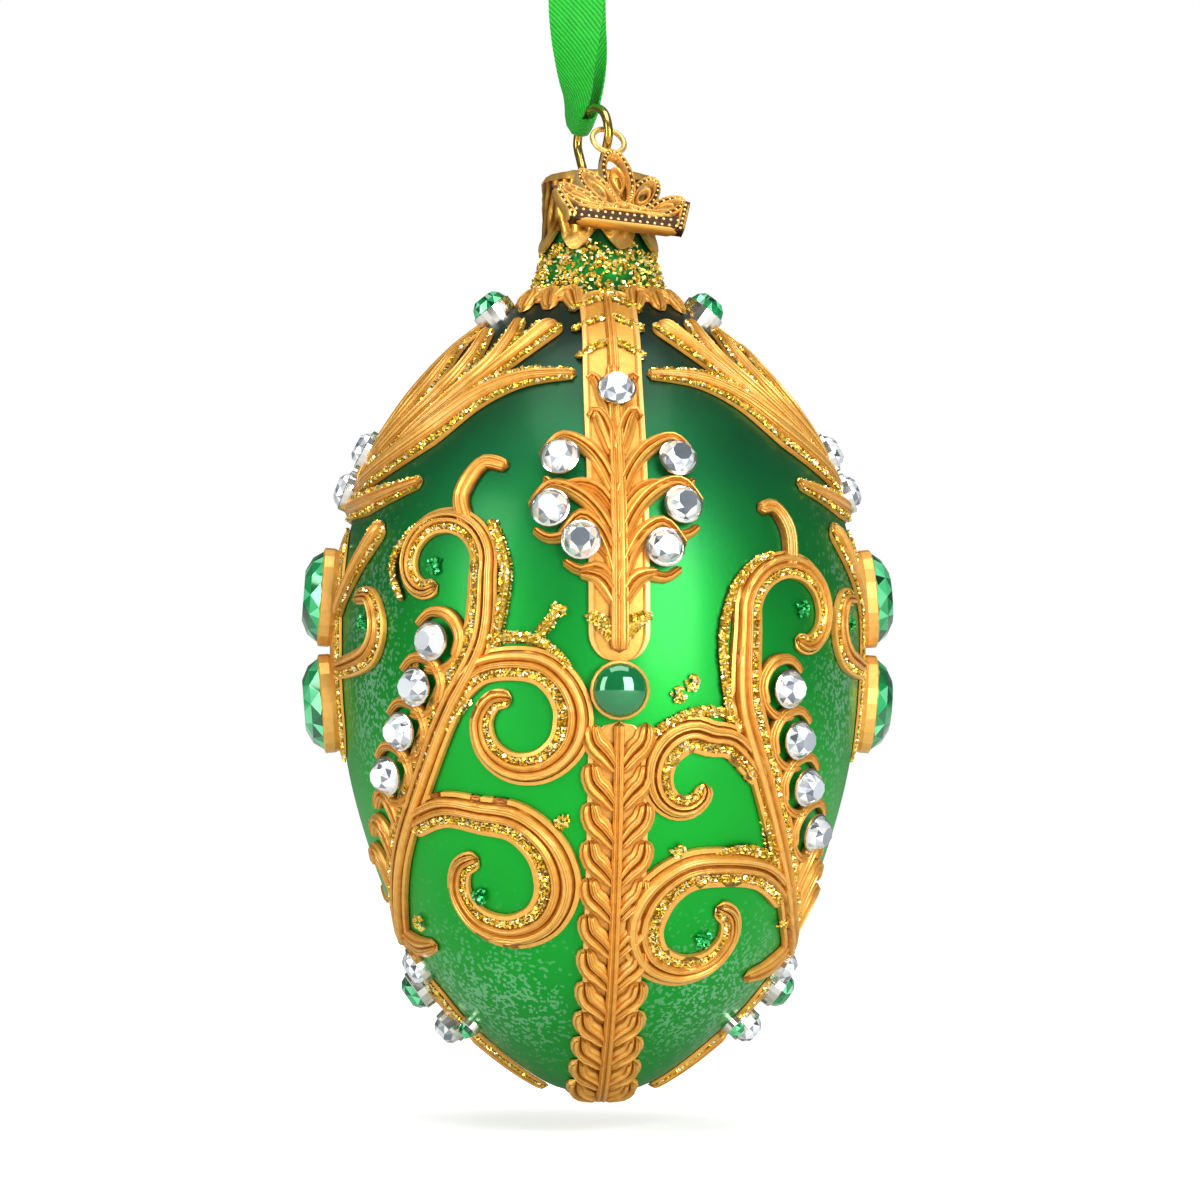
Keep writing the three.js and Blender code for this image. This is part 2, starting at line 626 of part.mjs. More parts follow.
function crownCharm() {
  const half = CHARM_WIDTH / 2;
  const barHeight = CHARM_HEIGHT * 0.17;
  const postHeight = CHARM_HEIGHT * 0.36;
  const postFlare = CHARM_WIDTH * 0.12;
  const rim = 0.72;
  const loopCentre = CHARM_HEIGHT * 0.53;
  const eyeFoot = CHARM_HEIGHT - EYE_WIDTH / 2 + EYE_RIM / 2;
  const tallLoop = 2 * (eyeFoot - loopCentre) / Math.cos(Math.PI / 10);
  const corner = (x, y) => new THREE.Vector2(x, y);
  const bar = new THREE.Shape([
    corner(-half, 0), corner(half, 0), corner(half, barHeight), corner(-half, barHeight),
  ]);
  const pieces = [
    charmPlate(bar),
    charmPlate(ringShape(tallLoop, CHARM_WIDTH * 0.3, rim, 10), [0, loopCentre]),
  ];
  for (const side of [-1, 1]) {
    pieces.push(
      charmPlate(ringShape(CHARM_HEIGHT * 0.5, CHARM_WIDTH * 0.24, rim, 8),
        [side * CHARM_WIDTH * 0.205, CHARM_HEIGHT * 0.37], -side * 32),
      charmPlate(ringShape(CHARM_HEIGHT * 0.43, CHARM_WIDTH * 0.19, rim, 8),
        [side * CHARM_WIDTH * 0.38, CHARM_HEIGHT * 0.26], -side * 57),
    );
    const post = [corner(side * half, 0), corner(side * (half + postFlare), postHeight),
      corner(side * (half + postFlare - rim), postHeight), corner(side * (half - rim * 1.4), 0)];
    pieces.push(charmPlate(new THREE.Shape(side > 0 ? post : post.reverse())));
  }
  pieces.push(charmPlate(ringShape(EYE_WIDTH, EYE_WIDTH, EYE_RIM, 10), [0, CHARM_HEIGHT], 0, EYE_METAL));
  const yaw = THREE.MathUtils.degToRad(CHARM_YAW);
  const lean = THREE.MathUtils.degToRad(CHARM_LEAN);
  const roll = THREE.MathUtils.degToRad(CHARM_ROLL);
  const eye = loopPoint(LOOP_WIDTH / 2 + 0.1, loopMiddle - CHARM_DROP);
  const pose = new THREE.Matrix4().makeTranslation(eye.x, eye.y, eye.z)
    .multiply(new THREE.Matrix4().makeRotationZ(yaw))
    .multiply(new THREE.Matrix4().makeRotationX(Math.PI / 2 - lean))
    .multiply(new THREE.Matrix4().makeRotationZ(-roll))
    .multiply(new THREE.Matrix4().makeTranslation(0, EYE_SAG - CHARM_HEIGHT, 0));
  return fromSolid(joined(pieces)).applyMatrix4(pose);
}

// Ribbon: round the back of the wire loop, up in two strands to the hang point

function ribbonSolid() {
  const wireClear = WIRE / 2 + RIBBON_METAL_GAP + RIBBON_THICKNESS;
  const bight = loopPoint(-loopSlant, loopMiddle + archSlant);
  const along = loopPoint(1, 0).sub(loopPoint(0, 0));
  const back = new THREE.Vector3(-along.y, along.x, 0);
  const wireWay = along.clone().multiplyScalar(-0.8).setZ(-0.6);
  const inward = along.clone().multiplyScalar(0.6).setZ(-0.8);
  const middle = new THREE.Vector3(RIBBON_SHIFT, 0, RIBBON_LOOP_TOP + RIBBON_THICKNESS / 2 - RIBBON_BEND);
  const route = [];
  const lead = (x, y, z, width, face) => route.push({ point: new THREE.Vector3(x, y, z), width, face });
  lead(RIBBON_SHIFT, RIBBON_BEND, middle.z - 2, RIBBON_WIDTH, 1);
  lead(RIBBON_SHIFT + 0.1, RIBBON_BEND, middle.z - 6, RIBBON_WIDTH, 1);
  lead(RIBBON_SHIFT + 0.2, RIBBON_BEND, loopTop + 11.5, RIBBON_WIDTH, 1);
  lead(-1.5, RIBBON_BEND + 0.2, loopTop + 7, 5, 0.75);
  lead(-0.9, RIBBON_BEND + 0.2, loopTop + 3, 4, 0.3);
  for (const angle of [90, 45, 0, -45, -90]) {
    const turn = THREE.MathUtils.degToRad(angle);
    route.push({
      point: bight.clone().addScaledVector(back, wireClear * Math.sin(turn))
        .addScaledVector(inward, wireClear * Math.cos(turn)),
      width: RIBBON_GATHERED, face: 0,
    });
  }
  lead(-2.4, 0.6, loopTop + 1.4, 3.4, 0.15);
  lead(-2.5, -1.2, loopTop + 4.4, 4.4, 0.5);
  lead(RIBBON_SHIFT - 0.1, -2.4, loopTop + 8, 5.4, 0.85);
  lead(RIBBON_SHIFT, -RIBBON_BEND, loopTop + 12, RIBBON_WIDTH, 1);
  for (const angle of [180, 150, 120, 90, 60, 30, 0]) {
    const turn = THREE.MathUtils.degToRad(angle);
    const reach = RIBBON_BEND + (angle < 90 ? RIBBON_LAP * (1 - angle / 90) : 0);
    lead(RIBBON_SHIFT, reach * Math.cos(turn), middle.z + RIBBON_BEND * Math.sin(turn), RIBBON_WIDTH, 1);
  }
  lead(RIBBON_SHIFT, RIBBON_BEND + RIBBON_LAP, middle.z - 5, RIBBON_WIDTH, 1);
  const rings = route.map(({ point, width, face }, i) => {
    const next = route[Math.min(i + 1, route.length - 1)].point;
    const ahead = next.clone().sub(route[Math.max(i - 1, 0)].point).normalize();
    const side = wireWay.clone().negate().lerp(new THREE.Vector3(1, 0, 0), face);
    side.addScaledVector(ahead, -side.dot(ahead)).normalize();
    const out = new THREE.Vector3().crossVectors(side, ahead);
    return [[-1, -1], [-1, 1], [1, 1], [1, -1]].map(([a, b]) => point.clone()
      .addScaledVector(side, a * width / 2).addScaledVector(out, b * RIBBON_THICKNESS / 2));
  });
  return loft(rings, true);
}

addPiece('ornament_cap', fromSolid(ornamentCap()), capGold, head);
addPiece('hanger_wire', hangerWire(), wireBrass, head);
addPiece('crown_charm', crownCharm(), charmGold, head);
addPiece('ribbon', ribbonSolid(), satin, head);

export default part;
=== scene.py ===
"""Dresses the jewelled egg: lacquered glass, gilt relief with glitter, cut stones,
a pressed cap, a wire hanger with a crown charm, and a satin ribbon.

Sizes are in millimetres unless a name says metres. The relief is drawn on a paper
pattern of [degrees round the egg, distance up its outline], as the CAD part's is.
"""

from __future__ import annotations

import logging
import math
import random
from dataclasses import dataclass, field
from enum import Enum, IntEnum
from functools import cache

import bmesh
import bpy
import numpy as np
from mathutils import Matrix, Vector

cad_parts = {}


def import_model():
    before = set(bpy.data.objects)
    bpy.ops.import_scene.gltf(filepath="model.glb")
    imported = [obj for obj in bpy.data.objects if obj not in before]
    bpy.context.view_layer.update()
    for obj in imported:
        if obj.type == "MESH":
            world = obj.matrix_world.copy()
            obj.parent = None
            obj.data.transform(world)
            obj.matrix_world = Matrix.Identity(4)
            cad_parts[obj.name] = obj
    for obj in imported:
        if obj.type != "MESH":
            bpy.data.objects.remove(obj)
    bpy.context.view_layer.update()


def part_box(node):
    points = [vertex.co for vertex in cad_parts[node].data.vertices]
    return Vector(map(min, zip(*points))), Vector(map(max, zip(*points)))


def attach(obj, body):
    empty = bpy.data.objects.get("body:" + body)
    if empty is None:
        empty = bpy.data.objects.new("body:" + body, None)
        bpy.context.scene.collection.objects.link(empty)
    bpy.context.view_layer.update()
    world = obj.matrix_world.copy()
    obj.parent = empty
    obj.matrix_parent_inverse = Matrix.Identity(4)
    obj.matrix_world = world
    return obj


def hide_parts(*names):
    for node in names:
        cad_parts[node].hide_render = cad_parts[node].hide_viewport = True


log = logging.getLogger("jewelled_egg")

MM = 0.001
IMAGE_SIZE = 1200

Place = tuple[float, float]
Route = list[Place]
Widths = tuple[float, float, float]


# Curves


def spline(points: np.ndarray, count: int) -> np.ndarray:
    """Samples an even Catmull-Rom curve through points.

    Args:
        points: One row for each point.
        count: How many samples to take, both ends included.

    Returns:
        One row for each sample.
    """
    padded = np.vstack([points[0], points, points[-1]])
    reach = np.linspace(0, len(points) - 1, count)
    start = np.minimum(reach.astype(int), len(points) - 2)
    t = (reach - start)[:, None]
    p0, p1, p2, p3 = (padded[start + i] for i in range(4))
    v0, v1 = (p2 - p0) / 2, (p3 - p1) / 2
    cubic = 2 * p1 - 2 * p2 + v0 + v1
    square = 3 * p2 - 3 * p1 - 2 * v0 - v1
    return ((cubic * t + square) * t + v0) * t + p1


def unit_rows(rows: np.ndarray) -> np.ndarray:
    """The same directions, each of length one."""
    return rows / np.linalg.norm(rows, axis=1)[:, None]


@dataclass
class Glass:
    """The egg's outline, and places on it."""

    radius: float = 28.1
    height: float = 86.4
    neck_radius: float = 5.4
    neck_height: float = 11.6
    wall: float = 1.1
    pattern_run: float = 117.6
    body_stations: tuple[Place, ...] = (
        (0, 0), (0.192, 0.0145), (0.413, 0.066), (0.616, 0.133), (0.769, 0.2165),
        (0.886, 0.315), (0.968, 0.4225), (1, 0.55), (0.975, 0.668), (0.89, 0.7615),
        (0.74, 0.845), (0.552, 0.919), (0.342, 0.9745),
    )
    neck_stations: tuple[Place, ...] = ((1.352, 0), (1.15, 0.26), (1.02, 0.53), (1, 1))

    def __post_init__(self) -> None:
        """Measures the outline and finds the egg in the frame."""
        body = [(r * self.radius, z * self.height) for r, z in self.body_stations]
        neck = [(r * self.neck_radius, self.height + z * self.neck_height)
                for r, z in self.neck_stations]
        line = spline(np.array(body + neck), 3000)
        steps = np.hypot(*np.diff(line, axis=0).T)
        run = np.concatenate([[0], np.cumsum(steps)])
        self.pattern_scale = run[-1] / self.pattern_run
        self.runs = run / self.pattern_scale
        self.line = line
        slope = np.gradient(line, run, axis=0)
        self.slope = slope / np.hypot(*slope.T)[:, None]
        low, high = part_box("glass_egg")
        self.origin = np.array([(low.x + high.x) / 2, (low.y + high.y) / 2, low.z]) / MM

    def outline_at(self, run: np.ndarray) -> tuple[np.ndarray, ...]:
        """The radius, the height and the slope's two parts at distances up the outline."""
        return tuple(np.interp(run, self.runs, table) for table in (*self.line.T, *self.slope.T))

    def per_degree(self, run: float) -> float:
        """Millimetres round the egg for one degree."""
        return max(float(self.outline_at(run)[0]), 1) * math.pi / 180

    def across(self, run: float, millimetres: float) -> float:
        """Degrees round the egg for a width."""
        return millimetres / self.per_degree(run)

    def places(self, degrees: np.ndarray, runs: np.ndarray, lift: np.ndarray, turn: float) -> np.ndarray:
        """Points above the glass.

        Args:
            degrees: Angles round the egg, from the band's middle.
            runs: Distances up the outline.
            lift: Heights above the glass.
            turn: How far the face is turned round the egg, in radians.

        Returns:
            One row for each point, in the row frame, in metres.
        """
        r, z, slope_r, slope_z = self.outline_at(runs)
        radius = r + slope_z * lift
        angle = np.radians(degrees) + turn
        points = np.stack([radius * np.sin(angle), -radius * np.cos(angle), z - slope_r * lift], -1)
        return (points + self.origin) * MM

    def frame(self, place: Place, lift: float, turn: float) -> Matrix:
        """A frame on the glass.

        Args:
            place: Where it stands.
            lift: How far above the glass, in millimetres.
            turn: How far the face is turned round the egg, in radians.

        Returns:
            The frame in metres: X round the egg, Y up it and Z out of it.
        """
        _, _, slope_r, slope_z = self.outline_at(place[1])
        angle = math.radians(place[0]) + turn
        around = Vector((math.cos(angle), math.sin(angle), 0))
        up = Vector((slope_r * math.sin(angle), -slope_r * math.cos(angle), slope_z))
        out = around.cross(up)
        basis = Matrix((around, up, out)).transposed().to_4x4()
        return Matrix.Translation(self.places(place[0], place[1], lift, turn)) @ basis


# Finishes


def linear(colour: str) -> tuple[float, float, float, float]:
    """Turns an sRGB hex colour into linear values."""
    parts = [int(colour[i : i + 2], 16) / 255 for i in (1, 3, 5)]
    return *(c / 12.92 if c <= 0.04045 else ((c + 0.055) / 1.055) ** 2.4 for c in parts), 1.0


def add_node(
    tree: bpy.types.NodeTree,
    kind: str,
    settings: dict | None = None,
    inputs: dict | None = None,
    stops: list[tuple[float, str]] | None = None,
) -> bpy.types.Node:
    """Adds a node with its settings and links.

    Args:
        tree: The material's node tree.
        kind: The node's type.
        settings: Its properties.
        inputs: Values or sockets for its inputs, by name or number.
        stops: Positions and hex colours for a colour ramp.

    Returns:
        The node.
    """
    made = tree.nodes.new(kind)
    for name, value in (settings or {}).items():
        setattr(made, name, value)
    for name, value in (inputs or {}).items():
        if isinstance(value, bpy.types.NodeSocket):
            tree.links.new(value, made.inputs[name])
        else:
            made.inputs[name].default_value = value
    if stops:
        ramp = made.color_ramp.elements
        while len(ramp) < len(stops):
            ramp.new(0.5)
        for element, (position, colour) in zip(ramp, stops):
            element.position = position
            element.color = linear(colour)
    return made


def start_material(name: str) -> tuple[bpy.types.Material, bpy.types.NodeTree]:
    """Starts a material.

    Args:
        name: The material's name.

    Returns:
        It and its empty node tree.
    """
    made = bpy.data.materials.new(name)
    made.use_nodes = True
    made.node_tree.nodes.clear()
    return made, made.node_tree


@dataclass(frozen=True)
class Finish:
    """A finish whose colour follows an attribute of the mesh, with a fine noise over it."""

    name: str
    attribute: str
    colours: tuple[str, ...]
    metallic: float
    roughness: float
    coat: float = 0.0
    grain_mm: float = 0.5
    grain_share: float = 0.3
    bump_mm: float = 0.0
    striation_mm: float = 0.0

    def material(self) -> bpy.types.Material:
        """Makes the material."""
        made, tree = start_material(self.name)
        coordinates = add_node(tree, "ShaderNodeTexCoord")
        noise = add_node(tree, "ShaderNodeTexNoise", {}, {
            "Vector": coordinates.outputs["Object"], "Scale": 1 / (self.grain_mm * MM), "Detail": 3.0,
        })
        value = add_node(tree, "ShaderNodeAttribute", {"attribute_name": self.attribute})
        speckle = add_node(tree, "ShaderNodeMath", {"operation": "MULTIPLY_ADD"}, {
            0: noise.outputs["Fac"], 1: self.grain_share * 2, 2: -self.grain_share,
        })
        total = add_node(tree, "ShaderNodeMath", {"operation": "ADD", "use_clamp": True}, {
            0: value.outputs["Fac"], 1: speckle.outputs[0],
        })
        spread = len(self.colours) - 1
        stops = [(i / spread, colour) for i, colour in enumerate(self.colours)]
        ramp = add_node(tree, "ShaderNodeValToRGB", {}, {"Fac": total.outputs[0]}, stops)
        shader = add_node(tree, "ShaderNodeBsdfPrincipled", {}, {
            "Base Color": ramp.outputs["Color"], "Metallic": self.metallic, "Roughness": self.roughness,
            "Coat Weight": self.coat, "Coat Roughness": 0.06,
        })
        height = noise.outputs["Fac"]
        if self.striation_mm:
            uv = add_node(tree, "ShaderNodeSeparateXYZ", {}, {0: coordinates.outputs["UV"]})
            wave = add_node(tree, "ShaderNodeMath", {"operation": "SINE"}, {
                0: add_node(tree, "ShaderNodeMath", {"operation": "MULTIPLY"}, {
                    0: uv.outputs["Y"], 1: 2 * math.pi / self.striation_mm,
                }).outputs[0],
            })
            height = add_node(tree, "ShaderNodeMath", {"operation": "ADD"}, {
                0: wave.outputs[0], 1: noise.outputs["Fac"],
            }).outputs[0]
        if self.bump_mm:
            bump = add_node(tree, "ShaderNodeBump", {}, {
                "Distance": self.bump_mm * MM, "Height": height,
            })
            tree.links.new(bump.outputs["Normal"], shader.inputs["Normal"])
        add_node(tree, "ShaderNodeOutputMaterial", {}, {"Surface": shader.outputs["BSDF"]})
        return made


class Zone(IntEnum):
    """Which finish a strip of relief takes, as its place in the piece's material slots."""

    GILT = 0
    BORDER = 1
    BED = 2
    GLITTER = 3
    GREEN_GLITTER = 4


# Copper-gold paint over moulded relief, coloured by height: painted shade dark in the grooves and a painted
# highlight on the crests
GILT = Finish("copper_gold_relief", "depth", ("#4a2406", "#985812", "#d08c2c", "#ecb458"),
              0.55, 0.36, coat=0.15, grain_mm=0.9, grain_share=0.22, bump_mm=0.05, striation_mm=0.42)
# The flat pale gold line that edges each stroke: smoother and lighter than the relief, with painted shade
# where it is lower
BORDER = Finish("pale_gold_line", "depth", ("#c4862e", "#e2a84c", "#f2c272"),
                0.5, 0.4, grain_mm=0.6, grain_share=0.3, bump_mm=0.02)
# The glue bed that shows between the glitter: dark amber, with painted shade where it is lower
BED = Finish("glitter_bed", "depth", ("#3a2506", "#7a5a12", "#c09a28"),
             0.5, 0.4, grain_mm=0.25, grain_share=0.5, bump_mm=0.06)
# Cut glitter: small metallized film chips, each catching the light by itself
GLITTER = Finish("gold_glitter", "facet", ("#b08418", "#e8bc30", "#fce26c", "#fff8d0"),
                 0.7, 0.2, grain_mm=2.0, grain_share=0.1)
GREEN_GLITTER = Finish("green_glitter", "facet", ("#055c22", "#0fa848", "#58e890"),
                       0.6, 0.18, grain_mm=2.0, grain_share=0.1)
# Foil-backed cut glass: each facet mirrors something else, so they differ strongly
CRYSTAL = Finish("foil_backed_crystal", "facet", ("#5c646c", "#bcc4cc", "#f0f4f8", "#ffffff"),
                 0.45, 0.06, coat=1.0, grain_mm=3.0, grain_share=0.08)
EMERALD = Finish("foil_backed_green_glass", "facet", ("#013018", "#06703a", "#12b060", "#7cecb0"),
                 0.35, 0.06, coat=1.0, grain_mm=3.0, grain_share=0.08)
# The stones' cups: pressed metal, silver plated, bright all over
SILVER = Finish("silvered_cup", "depth", ("#8a8880", "#d8d6cc", "#f6f4ee"),
                1.0, 0.18, grain_mm=0.8, bump_mm=0.01)
# Thin pressed sheet, gold plated: soft reflections broken by the pressed wrinkles, with painted shade inside
# the cap and in the pressed-in wrinkles
CAP_GOLD = Finish("pressed_gilt_cap", "depth", ("#744008", "#c08428", "#f0bc5c", "#ffe090"),
                  0.8, 0.34, grain_mm=0.7, grain_share=0.25, bump_mm=0.06)
# Drawn brass wire: smooth, with fine marks from the die, and painted light that makes the wire's upper side
# lighter and its under side darker
WIRE_BRASS = Finish("drawn_brass_wire", "depth", ("#8a6a20", "#c8a44c", "#f0d488"),
                    1.0, 0.2, grain_mm=0.5, grain_share=0.2, bump_mm=0.01)
# Cast: dark in the channels, bright on the rails and beads
CHARM_GOLD = Finish("antiqued_gold_casting", "depth", ("#2c1404", "#9a6420", "#e4b050", "#ffe098"),
                    0.7, 0.3, grain_mm=0.8, grain_share=0.05, bump_mm=0.01)


@dataclass(frozen=True)
class Lacquer:
    """Green lacquer over the glass, dusted with mint specks, and darker at the shoulders and neck: partly a
    deeper green lacquer, partly painted shade.
    """

    name: str = "green_metallic_lacquer"
    deep: str = "#06271b"
    body: str = "#008c2c"
    bright: str = "#00a628"
    mint: str = "#a6dcbc"
    speck_mm: float = 0.34

    def material(self) -> bpy.types.Material:
        """Makes the material."""
        made, tree = start_material(self.name)
        coordinates = add_node(tree, "ShaderNodeTexCoord")
        place = add_node(tree, "ShaderNodeSeparateXYZ", {}, {0: coordinates.outputs["Object"]})
        cloud = add_node(tree, "ShaderNodeTexNoise", {}, {
            "Vector": coordinates.outputs["Object"], "Scale": 1 / (9 * MM), "Detail": 4.0,
        })
        height = add_node(tree, "ShaderNodeMapRange", {}, {
            "Value": place.outputs["Z"], "From Min": -136 * MM, "From Max": -38 * MM,
        })
        mottled = add_node(tree, "ShaderNodeMath", {"operation": "MULTIPLY_ADD"}, {
            0: cloud.outputs["Fac"], 1: 0.1, 2: -0.05,
        })
        level = add_node(tree, "ShaderNodeMath", {"operation": "ADD"}, {
            0: height.outputs[0], 1: mottled.outputs[0],
        })
        # Colour by height: darker towards the shoulders and neck, partly a deeper lacquer and partly painted
        # shade
        paint = add_node(tree, "ShaderNodeValToRGB", {}, {"Fac": level.outputs[0]}, [
            (0.0, self.body), (0.3, self.bright), (0.52, self.body), (0.68, "#046434"),
            (0.8, self.deep), (0.87, self.deep), (0.9, "#0e8c2c"), (0.93, "#0a6428"), (0.95, self.deep),
        ])
        specks = add_node(tree, "ShaderNodeTexVoronoi", {}, {
            "Vector": coordinates.outputs["Object"], "Scale": 1 / (self.speck_mm * MM),
        })
        chance = add_node(tree, "ShaderNodeSeparateColor", {}, {0: specks.outputs["Color"]})
        dust = add_node(tree, "ShaderNodeAttribute", {"attribute_name": "dust"})
        patch = add_node(tree, "ShaderNodeMath", {"operation": "MULTIPLY_ADD"}, {
            0: cloud.outputs["Fac"], 1: 0.5, 2: -0.25,
        })
        amount = add_node(tree, "ShaderNodeMath", {"operation": "MULTIPLY_ADD"}, {
            0: dust.outputs["Fac"], 1: 1.0, 2: patch.outputs[0],
        })
        shows = add_node(tree, "ShaderNodeMath", {"operation": "LESS_THAN"}, {
            0: chance.outputs[0], 1: amount.outputs[0],
        })
        lit = add_node(tree, "ShaderNodeMath", {"operation": "MULTIPLY"}, {
            0: shows.outputs[0], 1: dust.outputs["Fac"],
        })
        colour = add_node(tree, "ShaderNodeMix", {"data_type": "RGBA"}, {
            0: lit.outputs[0], 6: paint.outputs["Color"], 7: linear(self.mint),
        })
        fine = add_node(tree, "ShaderNodeTexNoise", {}, {
            "Vector": coordinates.outputs["Object"], "Scale": 1 / (0.5 * MM), "Detail": 2.0,
        })
        bump = add_node(tree, "ShaderNodeBump", {}, {
            "Distance": 0.012 * MM, "Height": fine.outputs["Fac"],
        })
        shader = add_node(tree, "ShaderNodeBsdfPrincipled", {}, {
            "Base Color": colour.outputs[2], "Metallic": 0.72, "Roughness": 0.44,
            "Coat Weight": 0.1, "Coat Roughness": 0.15, "Normal": bump.outputs["Normal"],
        })
        add_node(tree, "ShaderNodeOutputMaterial", {}, {"Surface": shader.outputs["BSDF"]})
        return made


@dataclass(frozen=True)
class Satin:
    """Green satin ribbon: a fine twill on the face."""

    name: str = "green_satin_ribbon"
    dark: str = "#017010"
    body: str = "#029c16"
    light: str = "#0cb428"
    thread_mm: float = 0.26

    def material(self) -> bpy.types.Material:
        """Makes the material. The UV map is in millimetres, along and across the ribbon."""
        made, tree = start_material(self.name)
        coordinates = add_node(tree, "ShaderNodeTexCoord")
        threads = add_node(tree, "ShaderNodeTexWave", {"bands_direction": "DIAGONAL"}, {
            "Vector": coordinates.outputs["UV"], "Scale": 1 / (self.thread_mm * 3.6), "Distortion": 0.6,
        })
        uneven = add_node(tree, "ShaderNodeTexNoise", {}, {
            "Vector": coordinates.outputs["UV"], "Scale": 0.9, "Detail": 3.0,
        })
        total = add_node(tree, "ShaderNodeMath", {"operation": "MULTIPLY_ADD"}, {
            0: threads.outputs["Fac"], 1: 0.6,
            2: add_node(tree, "ShaderNodeMath", {"operation": "MULTIPLY"}, {
                0: uneven.outputs["Fac"], 1: 0.4,
            }).outputs[0],
        })
        ramp = add_node(tree, "ShaderNodeValToRGB", {}, {"Fac": total.outputs[0]}, [
            (0.1, self.dark), (0.5, self.body), (0.95, self.light),
        ])
        bump = add_node(tree, "ShaderNodeBump", {}, {
            "Distance": 0.04 * MM, "Height": threads.outputs["Fac"],
        })
        shader = add_node(tree, "ShaderNodeBsdfPrincipled", {}, {
            "Base Color": ramp.outputs["Color"], "Roughness": 0.5, "Sheen Weight": 0.1,
            "Specular IOR Level": 0.3, "Normal": bump.outputs["Normal"],
        })
        add_node(tree, "ShaderNodeOutputMaterial", {}, {"Surface": shader.outputs["BSDF"]})
        return made


@cache
def material_of(finish: Finish | Lacquer | Satin) -> bpy.types.Material:
    """The material of a finish, made once."""
    return finish.material()


# Shapes


def add_object(name: str, data: bpy.types.ID) -> bpy.types.Object:
    """A new object in the scene."""
    made = bpy.data.objects.new(name, data)
    bpy.context.scene.collection.objects.link(made)
    return made


def spin_round(bm: bmesh.types.BMesh, section: list, steps: int) -> None:
    """Spins a section's vertices and edges a full turn round Z."""
    bmesh.ops.spin(bm, geom=section, cent=(0, 0, 0), axis=(0, 0, 1), angle=2 * math.pi, steps=steps,
                   use_merge=True)


class Piece:
    """One piece of the dressed egg: a bmesh that becomes an object on the frame."""

    chips_in_heap = 60

    def __init__(self, name: str, slot: str, finishes: list[Finish | Lacquer | Satin],
                 replaces: list[str]) -> None:
        """Starts an empty piece.

        Args:
            name: The object's name.
            slot: The record's material slot; not used.
            finishes: Its material slots, in order.
            replaces: The CAD nodes that it stands for.
        """
        self.name = name
        self.slot = slot
        self.finishes = finishes
        self.replaces = replaces
        self.bm = bmesh.new()
        self.depth = self.bm.verts.layers.float.new("depth")
        self.facet = self.bm.faces.layers.float.new("facet")
        self.uv = self.bm.loops.layers.uv.new("pattern")
        self.random = random.Random(name)
        self.heap: bmesh.types.BMesh | None = None
        self.heaped = 0

    def tube(self, around: int, along: int) -> tuple[list, np.ndarray, np.ndarray]:
        """Adds a closed tube, to be shaped by the caller.

        Args:
            around: Points in each ring.
            along: Steps from one end to the other.

        Returns:
            Its vertices, and each one's step along and place round. The two end points are
            at steps 0 and along.
        """
        made = bmesh.ops.create_uvsphere(self.bm, u_segments=around, v_segments=along, radius=1)["verts"]
        x, y, z = np.array([v.co for v in made]).T
        step = np.rint(np.arccos(np.clip(z, -1, 1)) / math.pi * along).astype(int)
        column = np.rint(np.arctan2(y, x) / (2 * math.pi) * around).astype(int) % around
        return made, step, column

    def chip(self, matrix: Matrix, size: float, zone: int) -> None:
        """Adds one flat chip of glitter to the heap.

        A small heap is quick to work on, so it is poured often.

        Args:
            matrix: Where the chip lies, in metres.
            size: Of the chip, in millimetres.
            zone: Its material slot.
        """
        if self.heap is None:
            self.heap = bmesh.new()
            self.heap.faces.layers.float.new("facet")
        facet = self.heap.faces.layers.float["facet"]
        made = bmesh.ops.create_cube(self.heap, size=size * MM, matrix=matrix)["verts"]
        tone = self.random.random()
        for face in dict.fromkeys(f for v in made for f in v.link_faces):
            face.material_index = zone
            face[facet] = min(max(tone + self.random.uniform(-0.25, 0.25), 0), 1)
        self.heaped += 1
        if self.heaped >= self.chips_in_heap:
            self.pour()

    def pour(self) -> None:
        """Moves the heap of chips into the piece."""
        if self.heap is None:
            return
        chips = bpy.data.meshes.new("chips")
        self.heap.to_mesh(chips)
        self.bm.from_mesh(chips)
        self.heap.free()
        bpy.data.meshes.remove(chips)
        self.heap = None
        self.heaped = 0

    def hoop(self, radius: float, thickness: float, around: int, section: int) -> list:
        """Adds a ring that lies in the XY plane.

        Args:
            radius: To the middle of its wire.
            thickness: Of its wire.
            around: Steps round the ring.
            section: Points round the wire.

        Returns:
            Its vertices.
        """
        before = set(self.bm.verts)
        upright = Matrix.Translation((radius, 0, 0)) @ Matrix.Rotation(math.pi / 2, 4, "X")
        ring = bmesh.ops.create_circle(self.bm, segments=section, radius=thickness / 2,
                                       matrix=upright)["verts"]
        edges = list(dict.fromkeys(edge for v in ring for edge in v.link_edges))
        spin_round(self.bm, edges + ring, around)
        return [v for v in self.bm.verts if v not in before]

    def move(self, verts: list, matrix: Matrix) -> None:
        """Moves vertices by a matrix."""
        bmesh.ops.transform(self.bm, matrix=matrix, verts=verts)

    def paint(self, verts: list, zone: int = 0) -> None:
        """Gives the faces of vertices a material slot and a random facet value."""
        for face in dict.fromkeys(face for v in verts for face in v.link_faces):
            face.material_index = zone
            face[self.facet] = self.random.random()

    def finish(self, sharp_degrees: float = 35) -> bpy.types.Object:
        """Makes the object, puts it on the frame and reports it.

        Args:
            sharp_degrees: Edges sharper than this are shaded as edges.

        Returns:
            The object.
        """
        self.pour()
        bmesh.ops.recalc_face_normals(self.bm, faces=list(self.bm.faces))
        mesh = bpy.data.meshes.new(self.name)
        self.bm.to_mesh(mesh)
        self.bm.free()
        mesh.shade_smooth()
        mesh.set_sharp_from_angle(angle=math.radians(sharp_degrees))
        for finish in self.finishes:
            mesh.materials.append(material_of(finish))
        made = add_object(self.name, mesh)
        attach(made, "root")
        if self.replaces:
            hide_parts(*self.replaces)
        log.info("%s: %d faces", self.name, len(mesh.polygons))
        return made


